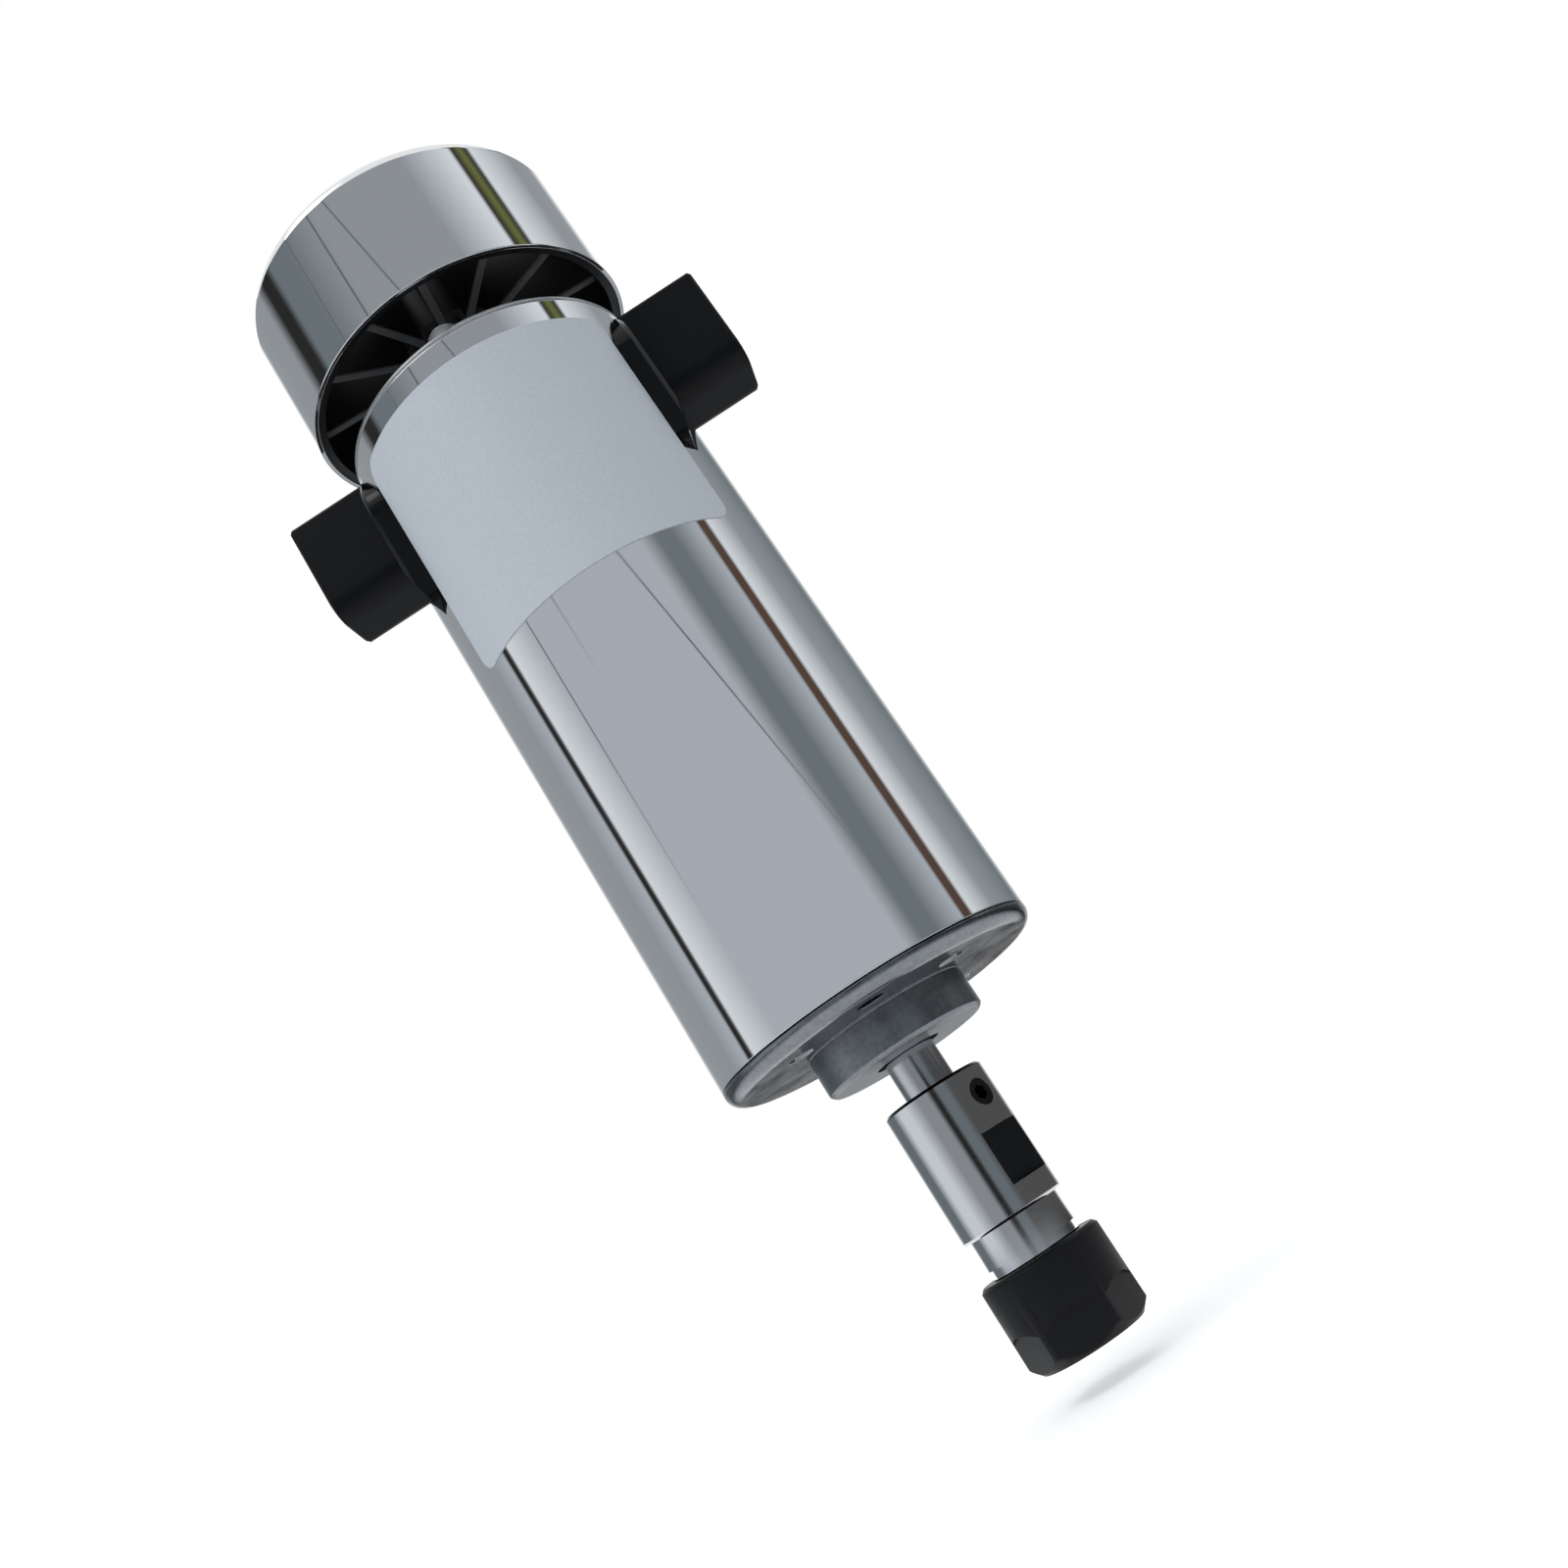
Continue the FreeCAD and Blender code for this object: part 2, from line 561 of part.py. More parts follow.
def rear_bearing_cup():
    """The turned cup that holds the rear bearing, pressed in the rear cap."""
    body = piece("rear_bearing_cup")
    revolve(
        body,
        [
            ("rear_bore", "rear_boss_end"),
            ("rear_bore", "wave_seat"),
            ("bearing_radius + press_fit_gap", "wave_seat"),
            ("bearing_radius + press_fit_gap", "rear_seat"),
            ("rear_boss_radius", "rear_seat"),
            ("rear_boss_radius", "rear_boss_end - rear_boss_chamfer"),
            ("rear_boss_radius - rear_boss_chamfer", "rear_boss_end"),
        ],
    )


def rear_cap():
    """The rear end cap: a thin rim behind the tube, round the bearing cup."""
    body = piece("rear_cap")
    spigot = "tube_inner - press_fit_gap"
    revolve(
        body,
        [
            ("rear_boss_radius + press_fit_gap", "rear_face"),
            ("rear_boss_radius + press_fit_gap", "rear_seat"),
            ("rear_recess_radius", "rear_seat"),
            ("rear_recess_radius", "rear_floor"),
            (spigot, "rear_floor"),
            (spigot, "tube_top"),
            ("tube_radius", "tube_top"),
            ("tube_radius", "rear_face - rear_edge_chamfer"),
            ("tube_radius - rear_edge_chamfer", "rear_face"),
        ],
    )
    for side in ("-tie_circle", "tie_circle"):
        sketch = sketch_on(body, "XY", "rear_face")
        circle(sketch, "0", side, "tie_radius + seat_gap")
        pocket(body, sketch, "rear_flange + rear_spigot")
        sketch = sketch_on(body, "XY", "rear_face")
        circle(sketch, "0", side, "tie_head_radius + 2 * seat_gap")
        pocket(body, sketch, "tie_head_height + seat_gap")


def tie_bolts():
    """Two long bolts in the gaps between the magnets, their heads in the rear cap."""
    body = piece("tie_bolts")
    seat = "rear_face - tie_head_height"
    for side in ("-tie_circle", "tie_circle"):
        sketch = sketch_on(body, "XY", "tie_end_depth")
        circle(sketch, "0", side, "tie_radius")
        pad(body, sketch, seat + " - tie_end_depth")
        sketch = sketch_on(body, "XY", seat)
        circle(sketch, "0", side, "tie_head_radius")
        pad(body, sketch, "tie_head_height")
        sketch = sketch_on(body, "XY", "rear_face")
        hexagon(sketch, "0", side, "tie_socket")
        pocket(body, sketch, "tie_socket_depth")


def field_magnets():
    """Two ferrite arcs bonded in the tube."""
    body = piece("field_magnets")
    low = "core_low - magnet_overhang"
    high = "core_high + magnet_overhang"
    section = [("magnet_inner", low), ("magnet_outer", low), ("magnet_outer", high), ("magnet_inner", high)]
    magnet = revolve(body, section, angle="magnet_arc")
    around(body, [magnet], "2")


# Bearings.


def bearing(end, low):
    """Outer ring, inner ring and the two rubber seals of one bearing."""
    high = low + " + bearing_width"
    ring(end + "_bearing_outer", "bearing_outer", "bearing_radius", low, high)
    ring(end + "_bearing_inner", "bearing_bore + press_fit_gap", "bearing_inner", low, high)
    body = piece(end + "_bearing_seals")
    inner = "bearing_inner + running_gap"
    outer = "bearing_outer - press_fit_gap"
    for near in (low + " + seal_inset", high + " - seal_inset - seal_thickness"):
        sketch = sketch_on(body, "XY", near)
        circle(sketch, "0", "0", outer)
        circle(sketch, "0", "0", inner)
        pad(body, sketch, "seal_thickness")


def wave_washer():
    """The spring washer behind the rear bearing's outer ring."""
    ring(
        "wave_washer",
        "bearing_radius - seat_gap - wave_width",
        "bearing_radius - seat_gap",
        "rear_bearing_high + seat_gap",
        "rear_bearing_high + seat_gap + wave_thickness",
    )


# The rotor.


def motor_shaft():
    """The ground shaft, thicker between its bearings, tapped at its rear end."""
    body = piece("motor_shaft")
    front_shoulder = "front_bearing_high + shaft_shoulder_gap"
    rear_shoulder = "rear_bearing_low - shaft_shoulder_gap"
    revolve(
        body,
        [
            ("0", "shaft_low"),
            ("shaft_radius - shaft_chamfer", "shaft_low"),
            ("shaft_radius", "shaft_low + shaft_chamfer"),
            ("shaft_radius", front_shoulder),
            ("shaft_body", front_shoulder),
            ("shaft_body", rear_shoulder),
            ("shaft_radius", rear_shoulder),
            ("shaft_radius", "shaft_high - shaft_chamfer"),
            ("shaft_radius - shaft_chamfer", "shaft_high"),
            ("fan_screw_radius + seat_gap", "shaft_high"),
            ("fan_screw_radius + seat_gap", "shaft_high - shaft_thread_depth"),
            ("0", "shaft_high - shaft_thread_depth - fan_screw_radius"),
        ],
    )


def slotted_disc(body, radius, low, length):
    """A disc or stack with the armature's slots."""
    sketch = sketch_on(body, "XY", low)
    circle(sketch, "0", "0", radius)
    circle(sketch, "0", "0", "shaft_body + press_fit_gap")
    pad(body, sketch, length)
    sketch = sketch_on(body, "XY", low)
    slot_outline(sketch, "0", radius + " + 1")
    cut = pocket(body, sketch, length, back=True)
    return around(body, [cut], "slot_count")


def slot_outline(sketch, lining, mouth):
    """One armature slot. With a lining it is the copper that fills the slot."""
    shoulder = "core_radius - slot_lip - " + lining
    outer = "slot_half - " + lining
    root = "slot_root - " + lining
    bottom = "slot_bottom + " + lining
    if mouth:
        outline(
            sketch,
            [
                (bottom, f"-({root})"),
                (shoulder, f"-({outer})"),
                (shoulder, "-slot_mouth"),
                (mouth, "-slot_mouth"),
                (mouth, "slot_mouth"),
                (shoulder, "slot_mouth"),
                (shoulder, outer),
                (bottom, root),
            ],
        )
    else:
        outline(
            sketch,
            [(bottom, f"-({root})"), (shoulder, f"-({outer})"), (shoulder, outer), (bottom, root)],
        )


def armature_core():
    slotted_disc(piece("armature_core"), "core_radius", "core_low", "core_length")


def armature_fibre():
    """The insulating discs on both ends of the stack."""
    for end, low in (("front", "core_low - fibre_thickness"), ("rear", "core_high")):
        slotted_disc(piece("armature_fibre_" + end), "core_radius - air_gap", low, "fibre_thickness")


def winding():
    """Copper coils: a bar in each slot, and the coil heads that join them."""
    body = piece("winding")
    front = "core_low - fibre_thickness"
    rear = "core_high + fibre_thickness"
    for near, far in ((front, front + " - coil_overhang"), (rear, rear + " + coil_overhang")):
        slant = "- coil_head_round" if near == rear else "+ coil_head_round"
        points = [
            ("coil_head_inner", near),
            ("coil_head_radius", near),
            ("coil_head_radius", f"{far} {slant}"),
            ("coil_head_radius - coil_head_round", far),
            ("coil_head_inner", far),
        ]
        revolve(body, points if near == rear else points[::-1])
    sketch = sketch_on(body, "XY", front)
    slot_outline(sketch, "slot_lining", None)
    bar = pad(body, sketch, "core_length + 2 * fibre_thickness")
    around(body, [bar], "slot_count")


def commutator():
    """The moulded hub and its ring of copper bars with risers."""
    ring(
        "commutator_hub",
        "shaft_body + press_fit_gap",
        "hub_radius",
        "commutator_low",
        "commutator_high",
    )
    body = piece("commutator_bars")
    bar = revolve(
        body,
        [
            ("hub_radius", "commutator_low"),
            ("riser_radius", "commutator_low"),
            ("riser_radius", "commutator_low + riser_length"),
            ("commutator_radius", "commutator_low + riser_length"),
            ("commutator_radius", "commutator_high"),
            ("hub_radius", "commutator_high"),
        ],
        angle="360 / commutator_bars - bar_gap",
    )
    around(body, [bar], "commutator_bars")


# Brush gear. The right side is +X, and the left side is the same turned half round.


def brush_holder(side, turn):
    """The black moulding: saddle on the tube, box, channel for the guide and the cap."""
    body = piece("brush_holder_" + side, turn)
    beyond = "box_outer + 1"
    sketch = sketch_on(body, "YZ", "tube_radius / 2")
    front_low = "saddle_front + saddle_front_round"
    rear_high = "saddle_rear - saddle_rear_round"
    outline(
        sketch,
        [
            ("saddle_front_round - saddle_half_width", "saddle_front"),
            ("saddle_half_width - saddle_front_round", "saddle_front", "saddle_front_round", 1),
            ("saddle_half_width", front_low),
            ("saddle_half_width", rear_high, "saddle_rear_round", 1),
            ("saddle_half_width - saddle_rear_round", "saddle_rear"),
            ("saddle_rear_round - saddle_half_width", "saddle_rear", "saddle_rear_round", 1),
            ("-saddle_half_width", rear_high),
            ("-saddle_half_width", front_low, "saddle_front_round", 1),
        ],
    )
    pad(body, sketch, "saddle_top - tube_radius / 2")
    top = number("saddle_top")
    chamfered(body, "saddle_edge", lambda edge: lies_at(edge, "X", top))
    sketch = sketch_on(body, "XZ", "-saddle_half_width - 1")
    outline(
        sketch,
        [
            ("saddle_ramp_foot - 1.5", "saddle_front - 1.5 * ramp_rise"),
            ("saddle_top + 1", "saddle_front - 1.5 * ramp_rise"),
            ("saddle_top + 1", "saddle_ramp_end + ramp_rise"),
        ],
    )
    pocket(body, sketch, "2 * saddle_half_width + 2", back=True)
    sketch = sketch_on(body, "YZ", "tube_radius / 2")
    rear_side = "box_rear - box_rear_round"
    front_side = "box_front + box_front_round"
    outline(
        sketch,
        [
            ("box_front_round - box_half_width", "box_front"),
            ("box_half_width - box_front_round", "box_front", "box_front_round", 1),
            ("box_half_width", front_side),
            ("box_half_width", rear_side, "box_rear_round", 1),
            ("box_half_width - box_rear_round", "box_rear"),
            ("box_rear_round - box_half_width", "box_rear", "box_rear_round", 1),
            ("-box_half_width", rear_side),
            ("-box_half_width", front_side, "box_front_round", 1),
        ],
    )
    pad(body, sketch, "box_outer - tube_radius / 2")
    sketch = sketch_on(body, "XY", "saddle_front - 1")
    circle(sketch, "0", "0", "tube_radius + seat_gap")
    pocket(body, sketch, "saddle_rear - saddle_front + 2", back=True)
    sketch = sketch_on(body, "YZ", "tube_radius - neck_depth")
    rectangle(
        sketch,
        "-(neck_half_width)",
        "brush_height - neck_half_axial",
        "neck_half_width",
        "brush_height + neck_half_axial",
    )
    pad(body, sketch, "neck_depth + 1")
    sketch = sketch_on(body, "YZ", beyond)
    rectangle(
        sketch,
        "-(sleeve_half_width + seat_gap)",
        "brush_height - sleeve_half_axial - seat_gap",
        "sleeve_half_width + seat_gap",
        "brush_height + sleeve_half_axial + seat_gap",
    )
    pocket(body, sketch, beyond)
    sketch = sketch_on(body, "YZ", beyond)
    circle(sketch, "0", "brush_height", "cap_screw_radius + seat_gap")
    pocket(body, sketch, beyond + " - guide_outer")
    sketch = sketch_on(body, "YZ", "cap_screw_low")
    rectangle(
        sketch,
        "-terminal_width / 2 - seat_gap",
        "brush_height - terminal_reach - seat_gap",
        "terminal_width / 2 + seat_gap",
        "brush_height + terminal_reach + seat_gap",
    )
    pocket(body, sketch, "cap_screw_low - guide_outer")
    sketch = sketch_on(body, "XY", "box_rear + 1")
    circle(sketch, "guide_outer - cable_hole / 2", "0", "cable_hole")
    pocket(body, sketch, "box_rear + 1 - brush_height - sleeve_half_axial - 1")
    rim = number("box_outer")
    chamfered(body, "box_edge", lambda edge: lies_at(edge, "X", rim) and on_box_rim(edge))


def brush_guide(side, turn):
    """The rectangular brass tube that the brush slides in."""
    body = piece("brush_guide_" + side, turn)
    sketch = sketch_on(body, "YZ", "guide_inner")
    rectangle(
        sketch,
        "-(sleeve_half_width)",
        "brush_height - sleeve_half_axial",
        "sleeve_half_width",
        "brush_height + sleeve_half_axial",
    )
    rectangle(
        sketch,
        "-(guide_half_width)",
        "brush_height - guide_half_axial",
        "guide_half_width",
        "brush_height + guide_half_axial",
    )
    pad(body, sketch, "guide_outer - guide_inner")


def brush_terminal(side, turn):
    """The brass plate on the guide's outer end, with the hole for the spring."""
    body = piece("brush_terminal_" + side, turn)
    sketch = sketch_on(body, "YZ", "guide_outer")
    rectangle(
        sketch,
        "-terminal_width / 2",
        "brush_height - terminal_reach",
        "terminal_width / 2",
        "brush_height + terminal_reach",
    )
    circle(sketch, "0", "brush_height", "guide_half_width + seat_gap")
    pad(body, sketch, "terminal_thickness")


def brush_cap(side, turn):
    """The slotted screw cap that holds the spring."""
    body = piece("brush_cap_" + side, turn)
    sketch = sketch_on(body, "YZ", "cap_screw_low + seat_gap")
    circle(sketch, "0", "brush_height", "cap_screw_radius")
    pad(body, sketch, "cap_screw_length - seat_gap")
    sketch = sketch_on(body, "YZ", "box_outer - cap_screw_inset")
    rectangle(
        sketch,
        "-cap_slot_width / 2",
        "brush_height - cap_screw_radius - 1",
        "cap_slot_width / 2",
        "brush_height + cap_screw_radius + 1",
    )
    pocket(body, sketch, "cap_slot_depth")


def carbon_brush(side, turn):
    """The brush, its end hollowed to the commutator."""
    body = piece("carbon_brush_" + side, turn)
    sketch = sketch_on(body, "YZ", "commutator_radius / 2")
    rectangle(
        sketch,
        "-brush_width / 2",
        "brush_height - brush_axial / 2",
        "brush_width / 2",
        "brush_height + brush_axial / 2",
    )
    pad(body, sketch, "brush_outer - commutator_radius / 2")
    sketch = sketch_on(body, "XY", "brush_height - brush_axial")
    circle(sketch, "0", "0", "brush_inner")
    pocket(body, sketch, "2 * brush_axial", back=True)


def brush_spring(side, turn):
    """The coil spring between the brush and its cap, wound along the radius."""
    body = doc.addObject("PartDesign::Body", "brush_spring_" + side)
    body.Label = "brush_spring_" + side
    sketch = sketch_on(body, "XZ")
    inner = "spring_radius - spring_wire / 2"
    rectangle(sketch, inner, "seat_gap", inner + " + spring_wire", "seat_gap + spring_wire")
    coil = body.newObject("PartDesign::AdditiveHelix", body.Label + "_coil")
    coil.Profile = sketch
    coil.ReferenceAxis = (sketch, ["V_Axis"])
    coil.Mode = "height-turns-angle"
    coil.setExpression("Height", bound("spring_length - spring_wire - 2 * seat_gap"))
    coil.setExpression("Turns", bound("spring_turns"))
    finish(coil, True)
    across = FreeCAD.Rotation(FreeCAD.Vector(0, 1, 0), 90)
    half_turn = FreeCAD.Rotation(FreeCAD.Vector(0, 0, 1), float(turn))
    body.Placement = FreeCAD.Placement(FreeCAD.Vector(), half_turn * across)
    sign = "-" if side == "left" else ""
    body.setExpression(".Placement.Base.x", bound(f"{sign}(brush_outer)"))
    body.setExpression(".Placement.Base.z", bound("brush_height"))


def brush_gear():
    for side, turn in (("right", "0"), ("left", "180")):
        brush_holder(side, turn)
        brush_guide(side, turn)
        brush_terminal(side, turn)
        brush_cap(side, turn)
        carbon_brush(side, turn)
        brush_spring(side, turn)


# The fan.


def fan_shell():
    """The thin polished ring, drawn in at the rear round the air intake."""
    body = piece("fan_shell")
    inner = "shell_radius - shell_wall"
    revolve(
        body,
        [
            (inner, "shell_low"),
            ("shell_radius", "shell_low"),
            ("shell_radius", "shell_high - shell_round", "shell_round", 1),
            ("shell_radius - shell_round", "shell_high"),
            ("shell_opening", "shell_high"),
            ("shell_opening", "shell_high - shell_wall"),
            ("shell_radius - shell_round", "shell_high - shell_wall"),
            (inner, "shell_high - shell_round"),
        ],
    )


def fan_wheel():
    """The black moulding of the fan: hub, straight radial vanes and outer ring."""
    ring("fan_hub", "bush_radius + press_fit_gap", "fan_hub_radius", "bush_middle", "bush_high")
    ring("fan_ring", "ring_inner", "ring_outer", "ring_low", "ring_high")
    body = piece("fan_vanes", "fan_turn")
    sketch = sketch_on(body, "XY", "vane_low")
    rectangle(
        sketch,
        "fan_hub_radius + press_fit_gap",
        "-vane_thickness / 2",
        "ring_inner - press_fit_gap",
        "vane_thickness / 2",
    )
    vane = pad(body, sketch, "vane_length")
    around(body, [vane], "vane_count")


def fan_bush():
    """The bright metal bush that carries the fan on the shaft."""
    body = piece("fan_bush")
    bore = "shaft_radius + press_fit_gap"
    revolve(
        body,
        [
            (bore, "bush_low"),
            ("bush_flange_radius - shaft_chamfer", "bush_low"),
            ("bush_flange_radius", "bush_low + shaft_chamfer"),
            ("bush_flange_radius", "bush_middle"),
            ("bush_radius", "bush_middle"),
            ("bush_radius", "bush_high"),
            (bore, "bush_high"),
        ],
    )


def fan_fixing():
    """The washer and the socket screw that hold the fan on the end of the shaft."""
    washer_high = "bush_high + fan_washer_thickness"
    ring("fan_washer", "fan_screw_radius + 2 * seat_gap", "fan_washer_radius", "bush_high", washer_high)
    body = piece("fan_screw")
    head_high = washer_high + " + fan_head_height"
    revolve(
        body,
        [
            ("0", washer_high + " - fan_screw_length"),
            ("fan_screw_radius", washer_high + " - fan_screw_length"),
            ("fan_screw_radius", washer_high),
            ("fan_head_radius", washer_high),
            ("fan_head_radius", head_high),
            ("0", head_high),
        ],
    )
    sketch = sketch_on(body, "XY", head_high)
    hexagon(sketch, "0", "0", "tie_socket")
    pocket(body, sketch, "tie_socket_depth")


# The chuck.


def chuck_rod():
    """The chuck rod: bore for the shaft, taper for the collet, wrench flats."""
    body = piece("chuck_rod", "rod_turn")
    shaft_bore = "shaft_radius + press_fit_gap"
    slope = "tan(collet_taper * 1deg)"
    mouth = f"collet_radius - collet_protrusion * {slope} + taper_gap"
    bore_end = "shaft_low - 0.5"
    taper_end = "shaft_low - 0.5 - rod_web"
    revolve(
        body,
        [
            (shaft_bore, "rod_high"),
            ("rod_radius - rod_chamfer", "rod_high"),
            ("rod_radius", "rod_high - rod_chamfer"),
            ("rod_radius", "rod_low + rod_chamfer"),
            ("rod_radius - rod_chamfer", "rod_low"),
            ("neck_radius", "rod_low"),
            ("neck_radius", "neck_low"),
            ("relief_radius", "neck_low"),
            ("relief_radius", "thread_high"),
            ("thread_radius", "thread_high"),
            ("thread_radius", "nose + rod_chamfer"),
            ("thread_radius - rod_chamfer", "nose"),
            (mouth, "nose"),
            (f"{mouth} - ({taper_end} - nose) * {slope}", taper_end),
            ("rod_hole", taper_end),
            ("rod_hole", bore_end),
            (shaft_bore, bore_end),
        ],
    )
    sketch = sketch_on(body, "YZ", "flat_half")
    rectangle(
        sketch,
        "-rod_radius",
        "rod_high - flat_start - flat_length",
        "rod_radius",
        "rod_high - flat_start",
    )
    flat = pocket(body, sketch, "rod_radius", back=True)
    around(body, [flat], "2")
    sketch = sketch_on(body, "YZ", "rod_radius + 1")
    circle(sketch, "0", "rod_high - grub_drop", "grub_radius + seat_gap")
    hole = pocket(body, sketch, "rod_radius + 1 - shaft_radius / 2")
    around(body, [hole], "grub_count")


def grub_screws():
    """The socket grub screws that lock the chuck rod on the shaft."""
    body = piece("grub_screws", "rod_turn")
    point = "shaft_radius + seat_gap"
    outer = "rod_radius - grub_inset"
    sketch = sketch_on(body, "YZ", point)
    circle(sketch, "0", "rod_high - grub_drop", "grub_radius")
    screw = pad(body, sketch, f"{outer} - ({point})")
    sketch = sketch_on(body, "YZ", outer)
    hexagon(sketch, "0", "rod_high - grub_drop", "grub_socket")
    socket = pocket(body, sketch, "grub_socket_depth")
    around(body, [screw, socket], "grub_count")


def collet():
    """The slit spring collet, its long taper in the rod and its groove in the nut."""
    body = piece("collet")
    slope = "tan(collet_taper * 1deg)"
    back = f"collet_radius - (collet_length - collet_nose) * {slope}"
    revolve(
        body,
        [
            ("collet_bore", "collet_face"),
            ("collet_rim - 0.3", "collet_face"),
            ("collet_rim", "collet_face + 0.3"),
            ("collet_rim", "groove_low"),
            ("collet_groove", "groove_low"),
            ("collet_groove", "groove_high"),
            ("collet_rim", "groove_high"),
            ("collet_radius", "collet_widest"),
            (back, "collet_rear"),
            ("collet_bore", "collet_rear"),
        ],
    )
    sketch = sketch_on(body, "XY", "collet_face")
    sketch.setExpression(".AttachmentOffset.Rotation.Angle", bound("collet_turn * 1deg"))
    rectangle(sketch, "collet_bore / 2", "-collet_slit / 2", "collet_radius + 1", "collet_slit / 2")
    front_slit = pocket(body, sketch, "collet_length - collet_bridge", back=True)
    around(body, [front_slit], "collet_slots")
    between = "(collet_turn + 180 / collet_slots) * 1deg"
    sketch = sketch_on(body, "XY", "collet_rear")
    sketch.setExpression(".AttachmentOffset.Rotation.Angle", bound(between))
    rectangle(sketch, "collet_bore / 2", "-collet_slit / 2", "collet_radius + 1", "collet_slit / 2")
    rear_slit = pocket(body, sketch, "collet_length - collet_nose - collet_bridge")
    around(body, [rear_slit], "collet_slots")


def collet_nut():
    """The black nut: thread, short cone on the collet, drawing lip, milled flats."""
    body = piece("collet_nut", "nut_turn")
    thread = "thread_radius + running_gap"
    cone = "tan(collet_seat_angle * 1deg)"
    lip_high = "groove_high - lip_gap"
    lip_low = "groove_low + lip_gap"
    wide = "collet_radius + running_gap"
    revolve(
        body,
        [
            (thread, "nut_high"),
            (thread, "nose - running_gap"),
            (wide, "nose - running_gap"),
            (wide, "collet_widest"),
            (f"{wide} - (collet_widest - {lip_high}) * {cone}", lip_high),
            ("nut_lip", lip_high),
            ("nut_lip", lip_low),
            ("nut_opening", lip_low),
            ("nut_opening", "nut_low"),
            ("nut_front_radius", "nut_low"),
            ("nut_radius", "nut_low + nut_front_chamfer"),
            ("nut_radius", "nut_high - nut_rear_chamfer"),
            ("nut_radius - nut_rear_chamfer", "nut_high"),
        ],
    )
    sketch = sketch_on(body, "YZ", "nut_flat_half")
    edge = "sqrt(nut_radius^2 - nut_flat_half^2) + 1"
    drop = f"(nut_flat_round - sqrt(nut_flat_round^2 - ({edge})^2))"
    top = "nut_low + nut_flat_length"
    outline(
        sketch,
        [
            (f"-({edge})", "nut_low - 1"),
            (edge, "nut_low - 1"),
            (edge, f"{top} - {drop}", "nut_flat_round", 1),
            (f"-({edge})", f"{top} - {drop}"),
        ],
    )
    flat = pocket(body, sketch, "nut_radius", back=True)
    around(body, [flat], "6")


def check_model():
    for thing in doc.Objects:
        if "Invalid" in thing.State or "Error" in thing.State:
            raise RuntimeError("%s failed: %s" % (thing.Label, thing.State))
    for body in pieces_of_model():
        if body.Shape.isNull() or not body.Shape.isValid():
            raise RuntimeError("%s has no valid shape" % body.Label)


def pieces_of_model():
    return [thing for thing in doc.Objects if thing.TypeId == "PartDesign::Body"]


def write_parts():
    os.makedirs("parts", exist_ok=True)
    for body in pieces_of_model():
        body.Shape.exportStep("parts/%s.step" % body.Label)
        print("%-28s solids %2d  volume %10.1f" % (body.Label, len(body.Shape.Solids), body.Shape.Volume))


fill_sheet()
body_tube()
front_cap()
rear_cap()
rear_bearing_cup()
tie_bolts()
field_magnets()
bearing("front", "front_bearing_low")
bearing("rear", "rear_bearing_low")
wave_washer()
motor_shaft()
armature_core()
armature_fibre()
winding()
commutator()
brush_gear()
fan_shell()
fan_wheel()
fan_bush()
fan_fixing()
chuck_rod()
grub_screws()
collet()
collet_nut()
doc.recompute()
check_model()
write_parts()
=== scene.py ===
from math import cos, degrees, pi, radians, sin

import bmesh
import bpy
from mathutils import Matrix, Vector


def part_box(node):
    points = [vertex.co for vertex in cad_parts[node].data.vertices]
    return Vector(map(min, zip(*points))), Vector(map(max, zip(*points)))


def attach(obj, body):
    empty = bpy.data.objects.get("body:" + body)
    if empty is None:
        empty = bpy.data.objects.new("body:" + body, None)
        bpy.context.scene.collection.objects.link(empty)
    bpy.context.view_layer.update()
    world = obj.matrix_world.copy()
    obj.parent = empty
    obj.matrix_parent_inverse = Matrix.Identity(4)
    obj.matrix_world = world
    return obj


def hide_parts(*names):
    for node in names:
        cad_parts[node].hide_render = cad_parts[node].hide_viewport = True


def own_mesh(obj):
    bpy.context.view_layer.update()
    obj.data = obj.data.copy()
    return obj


bl_info = {
    "name": "Motor spindle",
    "version": (1, 0, 0),
    "blender": (4, 5, 0),
    "location": "3D View > Sidebar > Spindle",
    "description": "Finishes and details of an air-cooled motor spindle",
    "category": "Object",
}

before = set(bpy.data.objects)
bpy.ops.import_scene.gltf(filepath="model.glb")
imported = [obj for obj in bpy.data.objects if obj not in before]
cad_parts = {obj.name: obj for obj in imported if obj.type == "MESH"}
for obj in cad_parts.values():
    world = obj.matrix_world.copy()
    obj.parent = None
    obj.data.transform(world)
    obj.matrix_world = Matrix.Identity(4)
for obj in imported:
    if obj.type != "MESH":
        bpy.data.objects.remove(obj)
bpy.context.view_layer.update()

MM = 0.001

# Corners of a mesh that are nearer to each other than this are one corner.
WELD = 0.0005 * MM
# In degrees: an edge that bends more than the first is sharp, and faces that bend less than
# the second are one.
SHARP_FROM = 32
FLAT_WITHIN = 0.6
# Steps in one turn of a thread.
THREAD_STEPS = 20

# The studio wall that the polished metal mirrors: rows of cards in nine tones.
WHITE = "f8f8f8"
BRIGHT = "d0d4d8"
PALE = "a4aab0"
GREY = "8c9094"
DIM = "687074"
DARK = "505050"
BLACK = "282828"
BROWN = "504038"
OLIVE = "686c40"
